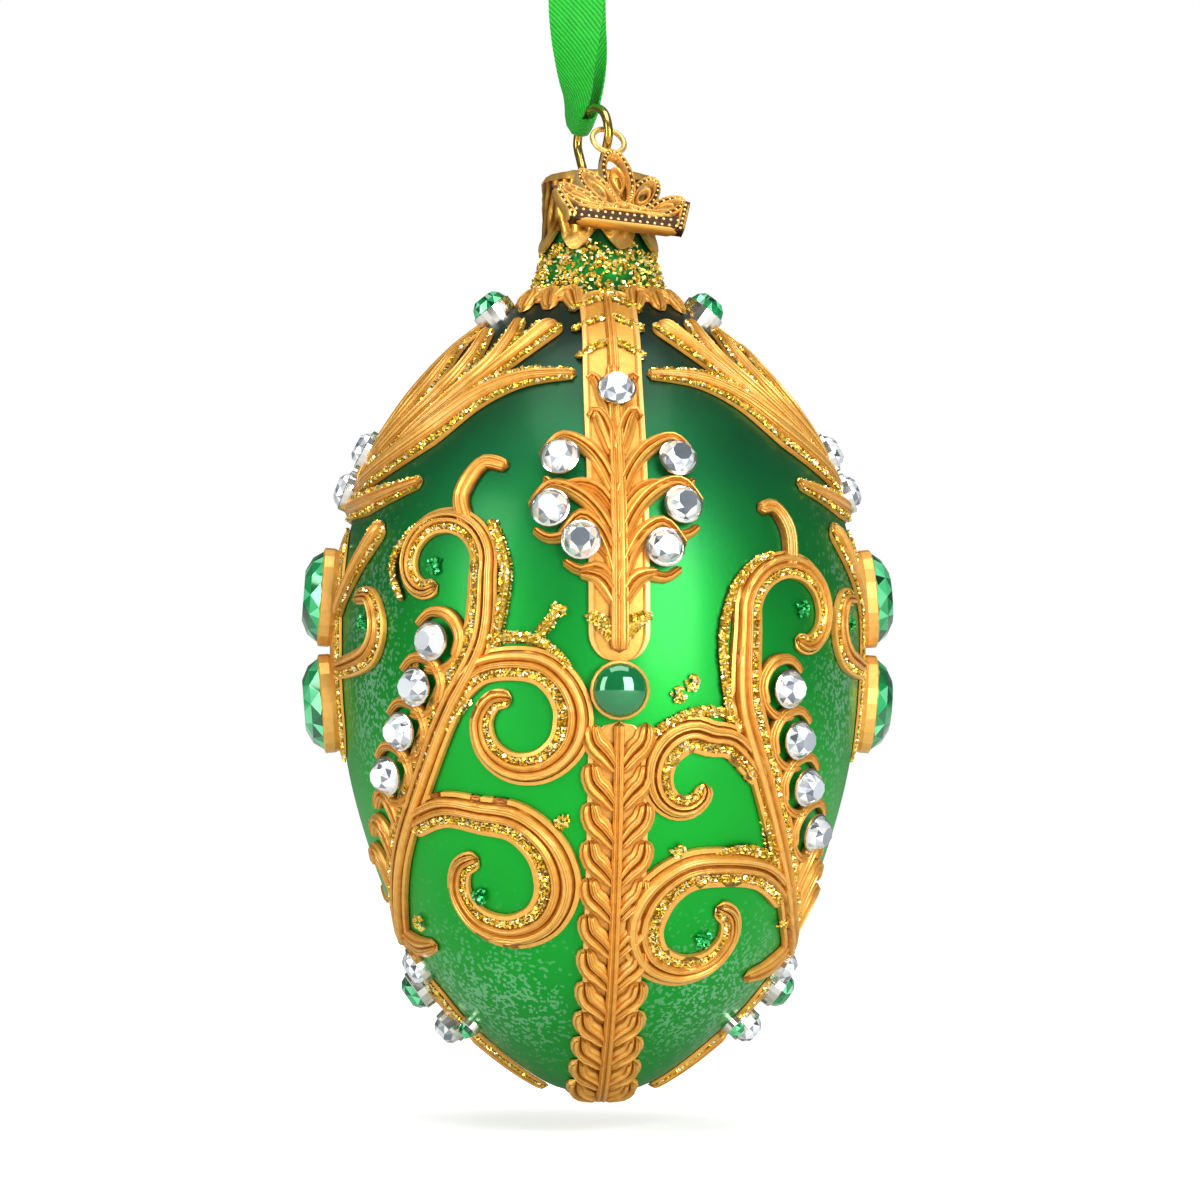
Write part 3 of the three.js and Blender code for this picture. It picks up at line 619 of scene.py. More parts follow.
class Cut(Enum):
    """How a stone's outline runs: its sides, and the power that points its two ends."""

    EIGHT_SIDED = (8, 1.0)
    OVAL = (12, 1.0)
    NAVETTE = (10, 1.7)


# From a stone's back to its table: share of its size, share of its height, and turn in steps
STONE_ROWS = ((0.6, 0, 0), (1, 0.26, 0), (1, 0.34, 0.5), (0.84, 0.72, 0), (0.56, 1, 0.5))


def outline_point(cut: Cut, angle: float, width: float, length: float) -> Place:
    """A point on a stone's outline, at an angle from its right-hand side."""
    c, s = math.cos(angle), math.sin(angle)
    return math.copysign(abs(c) ** cut.value[1], c) * width / 2, s * length / 2


def add_stone(piece: Piece, frame: Matrix, width: float, length: float, height: float, cut: Cut) -> None:
    """Adds a cut stone in the first finish: a back, a girdle, two rows of crown facets and a table.

    Args:
        piece: What it is added to.
        frame: Where it lies, Z outwards, in metres.
        width: Across, in millimetres.
        length: Along, in millimetres.
        height: From its back to its table.
        cut: Its outline.
    """
    sides = cut.value[0]
    verts = []
    for share, level, phase in STONE_ROWS:
        for i in range(sides):
            x, y = outline_point(cut, 2 * math.pi * (i + phase) / sides, width * share, length * share)
            verts.append(piece.bm.verts.new((x * MM, y * MM, level * height * MM)))
    hull = bmesh.ops.convex_hull(piece.bm, input=verts)
    inside = [g for g in hull["geom_interior"] if isinstance(g, bmesh.types.BMVert)]
    bmesh.ops.delete(piece.bm, geom=inside, context="VERTS")
    verts = [v for v in verts if v.is_valid]
    edges = list(dict.fromkeys(edge for v in verts for edge in v.link_edges))
    bmesh.ops.dissolve_limit(piece.bm, angle_limit=math.radians(2), verts=verts, edges=edges)
    verts = [v for v in verts if v.is_valid]
    piece.move(verts, frame)
    piece.paint(verts)


def add_rim(piece: Piece, frame: Matrix, width: float, length: float, thickness: float, cut: Cut,
            foot: float = 0) -> None:
    """Adds the rim of a stone's cup and the wall below it, in the second finish.

    Args:
        piece: What it is added to.
        frame: Where it lies, Z outwards, in metres.
        width: Across, in millimetres, to the middle of the rim.
        length: Along, in millimetres.
        thickness: Of the rim.
        cut: Its outline.
        foot: How far the cup's wall reaches down from the rim's middle.
    """
    verts = piece.hoop(MM, thickness * MM, 20, 6)
    deeper = max(1, foot / (thickness / 2 * math.cos(math.pi / 6)))
    for v in verts:
        angle = math.atan2(v.co.y, v.co.x)
        x, y = outline_point(cut, angle, width, length)
        grow = 1 + (math.hypot(v.co.x, v.co.y) - MM) / (min(width, length) / 2 * MM)
        v.co = Vector((x * MM * grow, y * MM * grow, v.co.z if v.co.z > 0 else v.co.z * deeper))
        v[piece.depth] = 0.6
    piece.move(verts, frame)
    piece.paint(verts, 1)


# Relief


@dataclass(frozen=True)
class Section:
    """A stroke's carved section.

    Each point has its side from -1 to 1, its share of the height, and the zone up to the next point.
    """

    points: tuple[tuple[float, float, Zone], ...]

    def mirrored(self) -> Section:
        """The same section with its sides changed over."""
        turned = [(-side, up) for side, up, _ in reversed(self.points)]
        zones = [zone for _, _, zone in reversed(self.points[:-1])] + [Zone.GILT]
        return Section(tuple((side, up, zone) for (side, up), zone in zip(turned, zones)))


# From the outer edge to the inner one: pale line, two ridges with a groove between them,
# a glitter line and a pale line again
SCROLL = Section((
    (-1, 0, Zone.BORDER), (-0.97, 0.4, Zone.BORDER), (-0.76, 0.46, Zone.GILT), (-0.72, 0.36, Zone.GILT),
    (-0.62, 0.82, Zone.GILT), (-0.44, 1, Zone.GILT), (-0.26, 0.84, Zone.GILT), (-0.16, 0.46, Zone.GILT),
    (-0.06, 0.78, Zone.GILT), (0.08, 0.86, Zone.GILT), (0.2, 0.74, Zone.GILT), (0.28, 0.4, Zone.BED),
    (0.7, 0.4, Zone.BORDER), (0.76, 0.52, Zone.BORDER), (0.96, 0.42, Zone.BORDER), (1, 0, Zone.GILT),
))
LEAF = Section((
    (-1, 0, Zone.BORDER), (-0.94, 0.4, Zone.BORDER), (-0.72, 0.6, Zone.GILT), (-0.45, 0.95, Zone.GILT),
    (-0.14, 0.75, Zone.GILT), (0, 0.42, Zone.GILT), (0.14, 0.75, Zone.GILT), (0.45, 0.95, Zone.GILT),
    (0.72, 0.6, Zone.BORDER), (0.94, 0.4, Zone.BORDER), (1, 0, Zone.GILT),
))
STEM = Section((
    (-1, 0, Zone.GILT), (-0.8, 0.7, Zone.GILT), (-0.35, 0.95, Zone.GILT), (0, 0.7, Zone.GILT),
    (0.35, 0.95, Zone.GILT), (0.8, 0.7, Zone.GILT), (1, 0, Zone.GILT),
))
FEATHER = Section((
    (-1, 0, Zone.BORDER), (-0.95, 0.34, Zone.BED), (-0.56, 0.42, Zone.GILT), (-0.5, 0.7, Zone.GILT),
    (-0.2, 1, Zone.GILT), (0, 0.72, Zone.GILT), (0.2, 1, Zone.GILT), (0.5, 0.7, Zone.GILT),
    (0.56, 0.42, Zone.BED), (0.95, 0.34, Zone.BORDER), (1, 0, Zone.GILT),
))
STRIP = Section((
    (-1, 0, Zone.BORDER), (-0.97, 0.8, Zone.BORDER), (-0.84, 0.9, Zone.BORDER), (-0.76, 0.3, Zone.BORDER),
    (0, 0.38, Zone.BORDER), (0.76, 0.3, Zone.BORDER), (0.84, 0.9, Zone.BORDER), (0.97, 0.8, Zone.BORDER),
    (1, 0, Zone.GILT),
))
GLITTER_LINE = Section((
    (-1, 0, Zone.BED), (-0.8, 0.6, Zone.BED), (0, 0.8, Zone.BED), (0.8, 0.6, Zone.BED), (1, 0, Zone.BED),
))


@dataclass(frozen=True)
class Course:
    """A stroke's course, at rising shares of its length.

    Attributes:
        length: The stroke's length.
        share: How far along each place is, from 0 to 1.
        at: The places.
        heading: The stroke's direction at each.
        scales: Millimetres for a degree at each.
        half: Half its width at each.
        rise: Its height at each.
    """

    length: float
    share: np.ndarray
    at: np.ndarray
    heading: np.ndarray
    scales: np.ndarray
    half: np.ndarray
    rise: np.ndarray


@dataclass
class Relief:
    """A field of relief on one face of the glass."""

    glass: Glass
    piece: Piece
    turn: float
    base_lift: float = 0.1
    dot_lift: float = 0.3
    grain_mm: float = 0.33
    step_mm: float = 0.62
    samples: int = 160

    def grain(self, centre: Vector, size: float, zone: Zone) -> None:
        """Adds one chip of glitter, turned at random.

        Args:
            centre: Its middle, in metres.
            size: Its size, in millimetres.
            zone: Its finish.
        """
        pick = self.piece.random
        spin = Matrix.Rotation(pick.uniform(0, 6.3), 4, Vector([pick.uniform(-1, 1) for _ in range(3)]))
        shape = Matrix.Diagonal((1, 0.8, 0.4, 1))
        self.piece.chip(Matrix.Translation(centre) @ spin @ shape, size, zone)

    def course(self, route: Route, widths: Widths, height: float) -> Course:
        """Runs a curve through a route, with closer steps and rounded shoulders at its ends.

        Args:
            route: Places that it runs through.
            widths: Its width at the start, the middle and the end.
            height: Its height where it is widest.

        Returns:
            The course.
        """
        glass = self.glass
        fine = spline(np.array(route, float), self.samples)
        scale = np.array([glass.per_degree(run) for run in fine[:, 1]])
        upward = np.full(len(scale) - 1, glass.pattern_scale)
        step = np.diff(fine, axis=0) * np.stack([(scale[1:] + scale[:-1]) / 2, upward], -1)
        distance = np.concatenate([[0], np.cumsum(np.hypot(*step.T))])
        length = distance[-1]
        along = max(10, int(length / self.step_mm))
        share = np.arange(along + 1) / along
        share = 0.7 * share + 0.3 * (1 - np.cos(math.pi * share)) / 2
        at = np.stack([np.interp(share * length, distance, fine[:, i]) for i in (0, 1)], -1)
        scales = np.interp(share * length, distance, scale)
        heading = np.gradient(at, axis=0) * np.stack([scales, np.full(along + 1, glass.pattern_scale)], -1)
        heading /= np.maximum(np.hypot(*heading.T), 1e-9)[:, None]
        width = np.interp(share, [0, 0.5, 1], widths)
        ends = np.minimum(share, 1 - share) * length / (width / 2)
        rounding = np.sqrt(np.clip(1 - (1 - np.clip(ends, 0, 1)) ** 2, 0.0004, 1))
        rise = height * np.sqrt(width / max(widths)) * np.clip(rounding, 0.35, 1)
        return Course(length, share, at, heading, scales, width / 2 * rounding, rise)

    def stroke(self, route: Route, widths: Widths, section: Section = STEM, height: float = 1.25,
               mirrored: bool = False) -> None:
        """Draws one carved stroke along a route, with glitter in its beds.

        Args:
            route: Places that it runs through.
            widths: Its width at the start, the middle and the end.
            section: Its carved section.
            height: Its height where it is widest.
            mirrored: Whether the section's sides change over.
        """
        top = (section.mirrored() if mirrored else section).points
        course = self.course(route, widths, height)
        along = len(course.share) - 1
        sides = np.array([p[0] for p in top] + [0.6, -0.6])
        ups = np.array([p[1] for p in top] + [0, 0])
        verts, steps, columns = self.piece.tube(len(sides), along)
        is_end = (steps == 0) | (steps == along)
        side, up = np.where(is_end, 0, sides[columns]), np.where(is_end, 0.3, ups[columns])
        aside = side * course.half[steps]
        degrees = course.at[steps, 0] + course.heading[steps, 1] * aside / course.scales[steps]
        runs = course.at[steps, 1] - course.heading[steps, 0] * aside / self.glass.pattern_scale
        lift = self.base_lift + up * course.rise[steps]
        # The height share also sets the colour: painted shade low in the grooves, a painted highlight on the
        # crests
        for v, point, level in zip(verts, self.glass.places(degrees, runs, lift, self.turn), up):
            v.co = point
            v[self.piece.depth] = level
        zones = [p[2] for p in top]
        self.zones(verts, steps, columns, zones, course.share * course.length, sides * max(widths) / 2)
        for (low, _, zone), (high, level, _) in zip(top, top[1:]):
            if zone == Zone.BED:
                self.scatter(course, low, high, level)

    def zones(self, verts: list, steps: np.ndarray, columns: np.ndarray, zones: list[Zone],
              runs: np.ndarray, across: np.ndarray) -> None:
        """Gives each face of a stroke its material slot and UVs in millimetres.

        Args:
            verts: The stroke's vertices.
            steps: Each one's step along.
            columns: Each one's place round.
            zones: The zone that starts at each of the section's points.
            runs: Distance along at each step.
            across: Distance across at each place round.
        """
        count = len(across)
        where = {v: (s, c) for v, s, c in zip(verts, steps, columns)}
        for face in dict.fromkeys(f for v in verts for f in v.link_faces):
            ring = sorted({where[v][1] for v in face.verts if 0 < where[v][0] < len(runs) - 1})
            first = ring[-1] if ring[-1] - ring[0] > 1 else ring[0]
            face.material_index = zones[first] if first < len(zones) - 1 else Zone.GILT
            for loop in face.loops:
                step, column = where[loop.vert]
                loop[self.piece.uv].uv = (runs[step], across[column % count])

    def scatter(self, course: Course, low: float, high: float, level: float) -> None:
        """Scatters glitter along one bed of a stroke.

        Args:
            course: The stroke's.
            low: The bed's one side, from -1 to 1.
            high: Its other side.
            level: Its share of the stroke's height.
        """
        pick = self.piece.random
        length, grain = course.length, self.grain_mm
        for spot in np.arange(0.3, length - 0.2, grain * 0.95) / max(length, 0.1):
            width = float(np.interp(spot, course.share, course.half)) * (high - low)
            rows = max(1, round(width / (grain * 0.9)))
            for row in range(rows):
                here = min(max(spot + pick.uniform(-0.3, 0.3) * grain / length, 0), 1)
                side = low + (high - low) * (row + pick.uniform(0.2, 0.8)) / rows
                east, up, ahead_east, ahead_up, scale, half, rise = (
                    float(np.interp(here, course.share, values))
                    for values in (*course.at.T, *course.heading.T, course.scales, course.half, course.rise)
                )
                degrees = east + ahead_up * side * half / scale
                run = up - ahead_east * side * half / self.glass.pattern_scale
                lift = self.base_lift + level * rise + 0.06
                centre = Vector(self.glass.places(degrees, run, lift, self.turn))
                self.grain(centre, grain * pick.uniform(0.75, 1.25), Zone.GLITTER)

    def dot(self, place: Place, radius: float, zone: Zone = Zone.GREEN_GLITTER) -> None:
        """Heaps a small dot of glitter on the glass or the relief.

        Args:
            place: Its middle.
            radius: Its radius.
            zone: Its finish.
        """
        pick = self.piece.random
        for _ in range(int(40 * radius)):
            angle, reach = pick.uniform(0, 6.3), radius * math.sqrt(pick.random())
            degrees = place[0] + self.glass.across(place[1], reach * math.cos(angle))
            run = place[1] + reach * math.sin(angle)
            dome = 0.5 * (1 - (reach / radius) ** 2)
            centre = Vector(self.glass.places(degrees, run, self.dot_lift + dome, self.turn))
            self.grain(centre, self.grain_mm * pick.uniform(0.9, 1.3), zone)


def scroll(glass: Glass, stem: Route, centre: Place, radius: float, start: float, sweep: float,
           draw: float = 0.7, squash: float = 1) -> Route:
    """A stem that runs into a spiral, which draws in towards its end.

    Args:
        glass: The glass that it is drawn on.
        stem: Places before the spiral.
        centre: The spiral's centre.
        radius: Its radius at the start.
        start: The angle that it starts at, in degrees.
        sweep: The angle that it turns through.
        draw: How much of the radius it loses.
        squash: Its width as a share of its height.

    Returns:
        The route.
    """
    route = list(stem)
    for i in range(10):
        share = i / 9
        reach = radius * (1 - draw * share**4)
        angle = math.radians(start + sweep * share)
        run = centre[1] + reach * math.sin(angle)
        route.append((centre[0] + glass.across(run, reach * squash * math.cos(angle)), run))
    return route


FACES = (("front", 0.0), ("back", math.pi))
SIDES = (("left", 0.0), ("right", math.pi))


def relief_field(glass: Glass, name: str, turn: float, nodes: list[str]) -> Relief:
    """An empty field of relief.

    Args:
        glass: The glass that it lies on.
        name: The piece's name.
        turn: How far its face is turned round the egg, in radians.
        nodes: The CAD nodes that it stands for.

    Returns:
        The field, with a finish for each zone.
    """
    return Relief(glass, Piece(name, "gilt_relief", [GILT, BORDER, BED, GLITTER, GREEN_GLITTER], nodes), turn)


def to_far_side(route: Route) -> Route:
    """A route beside a side's rib, turned over to the rib's other side."""
    return [(-180 - degrees, run) for degrees, run in route]


@dataclass
class GlassEgg:
    """The blown egg: a thin shell of glass, open at its neck."""

    glass: Glass
    around: int = 128
    rows: int = 150
    inside_from: float = 0.07

    def dust_at(self, degrees: float, run: float) -> float:
        """How thickly the mint specks lie: most on the panels between the scrolls and the sides.

        Args:
            degrees: Angle round the egg.
            run: Distance up its outline.

        Returns:
            The share that they cover, from 0 to 1.
        """
        from_side = min(abs(abs(degrees) % 180 - 90), 90)
        side = math.exp(-(((run - 58) / 15) ** 2)) * math.exp(-(((from_side - 26) / 13) ** 2))
        low = math.exp(-(((run - 20) / 9) ** 2)) * (1 - math.exp(-(((from_side - 90) / 18) ** 2)))
        return 0.5 * side + 0.4 * low

    def build(self) -> None:
        """Spins the shell and gives each point its dust."""
        glass = self.glass
        piece = Piece("dressed_glass_egg", "green_lacquered_glass", [Lacquer()], ["glass_egg"])
        dust = piece.bm.verts.layers.float.new("dust")
        top = glass.pattern_run
        profile = []
        for i in range(self.rows + 1):
            r, z, _, _ = glass.outline_at(top * i / self.rows)
            profile.append((float(r) if i else 0.0, float(z)))
        inner = self.rows // 2
        for i in range(inner, -1, -1):
            run = top * (self.inside_from + (1 - self.inside_from) * i / inner)
            r, z, slope_r, slope_z = glass.outline_at(run)
            lowered = 0 if i == inner else slope_r * glass.wall
            profile.append((float(r - slope_z * glass.wall), float(z + lowered)))
        profile.append((0.0, profile[-1][1] - glass.wall * 0.2))
        verts = [piece.bm.verts.new((r * MM, 0, z * MM)) for r, z in profile]
        edges = [piece.bm.edges.new(pair) for pair in zip(verts, verts[1:])]
        spin_round(piece.bm, verts + edges, self.around)
        bmesh.ops.remove_doubles(piece.bm, verts=list(piece.bm.verts), dist=1e-6)
        for v in piece.bm.verts:
            run = float(np.interp(v.co.z / MM, glass.line[:, 1], glass.runs))
            v[dust] = self.dust_at(math.degrees(math.atan2(v.co.x, -v.co.y)), run)
        piece.move(list(piece.bm.verts), Matrix.Translation(Vector(glass.origin) * MM))
        piece.finish(60)


@dataclass
class Band:
    """The band of leaves on one face: a spray above the cabochon and a garland below it."""

    glass: Glass
    face: str
    turn: float
    width: float = 6.2
    leaf_pairs: int = 12
    cabochon_run: float = 54.9
    cabochon_size: float = 5.6
    cabochon_dome: float = 1.7
    cabochon_level: float = 0.7
    top_stone: Place = (0.7, 87)
    stones: dict[str, Route] = field(default_factory=lambda: {
        "left": [(-13, 78.7), (-14.4, 73.2), (-7.8, 69.9)],
        "right": [(14, 78.6), (13.9, 73.6), (9.4, 69.2)],
    })

    def spray(self) -> None:
        """Builds the spray of leaves that holds the small stones."""
        node = f"{self.face}_leaf_spray"
        relief = relief_field(self.glass, f"dressed_{node}", self.turn, [node])
        relief.stroke([(0, 57.6), (0, 72), (0, 88), (0.8, 96), (1.6, 105)], (6.3, 6.3, 6.0), STRIP, 0.5)
        relief.stroke([(0, 58.6), (0, 72), (0, 91)], (2.2, 2.0, 1.4), STEM, 1.3)
        for side, outward in (("left", -1), ("right", 1)):
            for degrees, run in self.stones[side]:
                relief.stroke([
                    (0, run - 4.2), (degrees * 0.25, run - 0.6), (degrees * 0.6, run + 1.8),
                    (degrees + outward * 0.6, run + 2.7), (degrees + outward * 5, run + 0.2),
                ], (1.6, 1.9, 1.1), LEAF, 1.2)
                relief.stroke([
                    (0, run - 6), (degrees * 0.3, run - 3.4), (degrees * 0.62, run - 2.6),
                    (degrees + outward * 0.4, run - 2.9), (degrees + outward * 4, run - 1.8),
                ], (1.2, 1.5, 0.9), LEAF, 1.0)
            relief.stroke([(0, 79), (outward * 2.6, 83), (outward * 5, 84.6), (outward * 6.6, 83.4)],
                          (1.8, 2.4, 1.3), LEAF)
            relief.stroke([(0, 82), (outward * 2.4, 86.4), (outward * 5.6, 89.4), (outward * 8, 88.6)],
                          (1.4, 1.9, 1.0), LEAF, 1.0)
            relief.stroke([(0, 63.2), (outward * 3.5, 66.1), (outward * 8.6, 66.8)], (1.6, 2.2, 1.2), LEAF)
            relief.stroke([(0, 59.6), (outward * 3, 61.6), (outward * 6.8, 62.6)], (1.5, 1.8, 1.0),
                          GLITTER_LINE, 0.9)
            for run, reach in ((93.5, 12), (98, 16), (102, 21)):
                end = outward * reach
                relief.stroke([(0, run + 1.5), (end * 0.5, run + 0.4), (end, run - 1.2)],
                              (1.0, 0.9, 0.8), GLITTER_LINE, 0.6)
        relief.stroke([(0.5, 90), (1, 97), (1.6, 104)], (1.3, 1.2, 0.9), STEM, 0.8)
        relief.piece.finish()

    def garland(self) -> None:
        """Builds the garland: pairs of leaves that curl up and outwards from a rib."""
        node = f"{self.face}_leaf_garland"
        relief = relief_field(self.glass, f"dressed_{node}", self.turn, [node])
        top = self.cabochon_run - self.cabochon_size / 2 - 0.4
        bottom = 3.6
        pitch = (top - bottom) / self.leaf_pairs
        relief.stroke([(0, bottom - 1), (0, 28), (0, top)], (5.0, 6.3, 6.3), STRIP, 0.35)
        relief.stroke([(0, bottom - 0.6), (0, 28), (0, top)], (1.4, 1.3, 1.2), STEM, 1.25)
        for pair in range(self.leaf_pairs):
            run = bottom + pair * pitch
            half = self.width / 2 + 0.15
            for outward in (-1, 1):
                leaf = [(0, run - pitch * 0.3), (half * 0.42, run + pitch * 0.16),
                        (half * 0.78, run + pitch * 0.5), (half * 0.86, run + pitch * 0.98)]
                route = [(outward * self.glass.across(max(r, 4), x), r) for x, r in leaf]
                relief.stroke(route, (1.5, 2.7, 2.0), LEAF, 1.3)
        relief.piece.finish()

    def gems(self) -> None:
        """Builds the cabochon, the clear stone at the top and the spray's small stones."""
        cabochon = Piece(f"dressed_{self.face}_cabochon", "green_glass_stone", [EMERALD, BORDER],
                         [f"{self.face}_cabochon"])
        frame = self.glass.frame((0, self.cabochon_run), 0.5, self.turn)
        around, along = 24, 12
        verts, steps, columns = cabochon.tube(around, along)
        for v, step, column in zip(verts, steps, columns):
            level = math.cos(math.pi * step / along)
            reach = math.sin(math.pi * step / along) * self.cabochon_size / 2
            angle = 2 * math.pi * column / around
            height = self.cabochon_level + level * (self.cabochon_dome if level > 0 else 0.4)
            v.co = Vector((reach * math.cos(angle), reach * math.sin(angle), height)) * MM
        cabochon.move(verts, frame)
        cabochon.paint(verts)
        for face in cabochon.bm.faces:
            face[cabochon.facet] = 0.34
        lifted = frame @ Matrix.Translation((0, 0, self.cabochon_level * MM))
        add_rim(cabochon, lifted, self.cabochon_size, self.cabochon_size, 0.55, Cut.EIGHT_SIDED)
        cabochon.finish(60)
        stones = {f"{self.face}_top_stone": self.top_stone}
        for side in ("left", "right"):
            for i, place in enumerate(self.stones[side]):
                stones[f"{self.face}_{side}_spray_stone_{i + 1}"] = place
        RoundStones(self.glass, self.turn, stones).build()


@dataclass
class RoundStones:
    """Round cut stones, each in a silvered cup."""

    glass: Glass
    turn: float
    places: dict[str, Place]
    size: float = 3.9
    height: float = 2.0
    lift: float = 0.75

    def build(self) -> None:
        """Builds every stone as its own piece."""
        for node, place in self.places.items():
            piece = Piece(f"dressed_{node}", "clear_glass_stone", [CRYSTAL, SILVER], [node])
            frame = self.glass.frame(place, self.lift, self.turn)
            spin = Matrix.Rotation(piece.random.uniform(0, 0.7), 4, "Z")
            add_stone(piece, frame @ spin, self.size * 0.94, self.size * 0.94, self.height, Cut.EIGHT_SIDED)
            rim = frame @ Matrix.Translation((0, 0, 0.5 * MM))
            add_rim(piece, rim, self.size * 0.95, self.size * 0.95, 0.42, Cut.EIGHT_SIDED)
            piece.finish(20)


@dataclass(frozen=True)
class ScrollPattern:
    """The strokes of one side's scrollwork."""

    outward: int
    trunk: Route
    hook: Route
    first: Route
    second: Route
    foot: Route
    stones: Route
    leaves: Route
    dots: Route
    gold_dots: Route
    glints: tuple[Route, ...]


def left_pattern(glass: Glass) -> ScrollPattern:
    """Draws the scrollwork to the left of the band.

    Args:
        glass: The glass that it is drawn on.

    Returns:
        Its strokes and dots.
    """
    return ScrollPattern(
        outward=-1,
        trunk=scroll(glass, [(-84, 27.5), (-72, 32), (-60, 38.4), (-48, 45.4), (-38, 53.4), (-30, 60)],
                     (-39.5, 67.6), 4.9, -8, 268, 0.62, 1.06),
        hook=[(-33, 71.4), (-36.4, 75), (-32.4, 78.6), (-25.6, 78.1)],
        first=scroll(glass, [(-38, 53.2), (-29.5, 57)], (-20.8, 52.1), 5.5, 78, -325, 0.63),
        second=scroll(glass, [(-54, 40.8), (-42, 42.6)], (-30.2, 35.5), 6.6, 96, -324, 0.62),
        foot=[(-80, 29), (-70, 27.2), (-59, 27.4)],
        stones=[(-40, 60), (-44.6, 55.4), (-49.6, 50.9), (-55.6, 46.4)],
        leaves=[(-61.5, 43.6), (-67.5, 40.6), (-74.5, 37.4)],
        dots=[(-41.4, 67.7), (-35.9, 33.2)],
        gold_dots=[(-12.6, 63), (-12.4, 41.3), (-63, 30), (-46, 57)],
        glints=(
            [(-26, 59), (-23.8, 67), (-28, 72.5)],
            [(-33, 57.9), (-26, 60), (-20, 60.2), (-15, 59.4), (-10, 57)],
            [(-50, 42.8), (-44, 47.8), (-38, 51.2), (-32, 54.2)],
            [(-17, 60), (-14.6, 61.6), (-12.6, 63)],
            [(-40, 72.6), (-46, 72.2), (-52, 69.8), (-53.6, 67.4), (-50, 64.2)],
        ),
    )


def right_pattern(glass: Glass) -> ScrollPattern:
    """Draws the scrollwork to the right of the band.

    Args:
        glass: The glass that it is drawn on.

    Returns:
        Its strokes and dots.
    """
    return ScrollPattern(
        outward=1,
        trunk=scroll(glass, [(79, 26.2), (69, 28.6), (58, 31.8), (46, 38), (36, 45.4), (28.4, 53.4)],
                     (40.6, 62.4), 5.6, 186, -266, 0.62, 1.1),
        hook=[(40.6, 67.4), (41.4, 71.6), (38, 74), (33.4, 73.6)],
        first=scroll(glass, [(34.6, 45.6), (26, 49.4)], (16.2, 46.3), 4.2, 62, 270, 0.55, 0.9),
        second=scroll(glass, [(54, 32.6), (40, 35.8)], (23.4, 30.4), 6.1, 84, 318, 0.62),
        foot=[(73, 27.4), (63, 24.6), (50.5, 23.4)],
        stones=[(38, 55.2), (41.9, 50), (46.9, 45.2), (54.4, 40.4)],
        leaves=[(60.5, 38.2), (66.5, 35.6), (73.5, 32.8)],
        dots=[(44, 63.5), (26.5, 28.2)],
        gold_dots=[(14.7, 38.1), (12.6, 54.4), (15.6, 55.6), (57, 30)],
        glints=(
            [(24.5, 51.5), (22.6, 57), (22.4, 61), (25, 65.2), (30, 67.8), (36, 68.9)],
            [(30, 48), (33.5, 45.5), (37, 42), (41, 38.5), (46, 35.7)],
            [(6, 49.6), (10, 51.4), (17, 52.7), (24, 52.4), (28, 50.7)],
            [(24, 37.8), (32, 38.4), (40, 37.6), (47, 35.6)],
        ),
    )


@dataclass
class Scrollwork:
    """One side's scrolls on one face, with the stones along their trunk."""

    glass: Glass
    face: str
    side: str
    turn: float
    pattern: ScrollPattern

    def build(self) -> None:
        """Builds the strokes, the dots of glitter and the stones."""
        node = f"{self.face}_{self.side}_scrollwork"
        relief = relief_field(self.glass, f"dressed_{node}", self.turn, [node])
        p = self.pattern
        left = p.outward < 0
        relief.stroke(p.trunk, (3.4, 4.0, 2.0), SCROLL, 1.35, mirrored=left)
        relief.stroke(p.hook, (1.8, 2.0, 1.5), STEM, 1.0)
        relief.stroke(p.first, (3.0, 4.2, 2.0), SCROLL, 1.3, mirrored=not left)
        relief.stroke(p.second, (3.4, 5.0, 2.2), SCROLL, 1.35, mirrored=not left)
        relief.stroke(p.foot, (2.0, 2.8, 1.4), LEAF, 1.0)
        for place in p.stones:
            self.cup(relief, place)
        for degrees, run in p.leaves:
            relief.stroke([
                (degrees - p.outward * 5, run - 5), (degrees - p.outward * 3, run - 0.4),
                (degrees + p.outward * 1, run + 0.8), (degrees + p.outward * 5, run - 1),
            ], (1.6, 2.3, 1.0), LEAF, 1.05)
        for route in p.glints:
            relief.stroke(route, (0.9, 1.1, 0.8), GLITTER_LINE, 0.9)
        for place in p.dots:
            relief.dot(place, 0.9)
        for place in p.gold_dots:
            relief.dot(place, 0.8, Zone.GLITTER)
        relief.piece.finish()
        stones = {f"{self.face}_{self.side}_scroll_stone_{i + 1}": place
                  for i, place in enumerate(p.stones)}
        RoundStones(self.glass, self.turn, stones).build()

    def cup(self, relief: Relief, place: Place) -> None:
        """Arches a leaf over a stone, from the trunk to the outer side.

        Args:
            relief: The field that it is drawn in.
            place: The stone's middle.
        """
        degrees, run = place
        for radius, low, high, width in ((3.05, -40, 150, 1.5), (3.0, -120, -10, 1.1)):
            route = []
            for i in range(5):
                angle = math.radians(low + (high - low) * i / 4)
                offset = self.glass.across(run, radius * math.cos(angle))
                route.append((degrees - self.pattern.outward * offset, run + radius * math.sin(angle)))
            relief.stroke(route, (width, width, width * 0.6), STEM, 1.0)


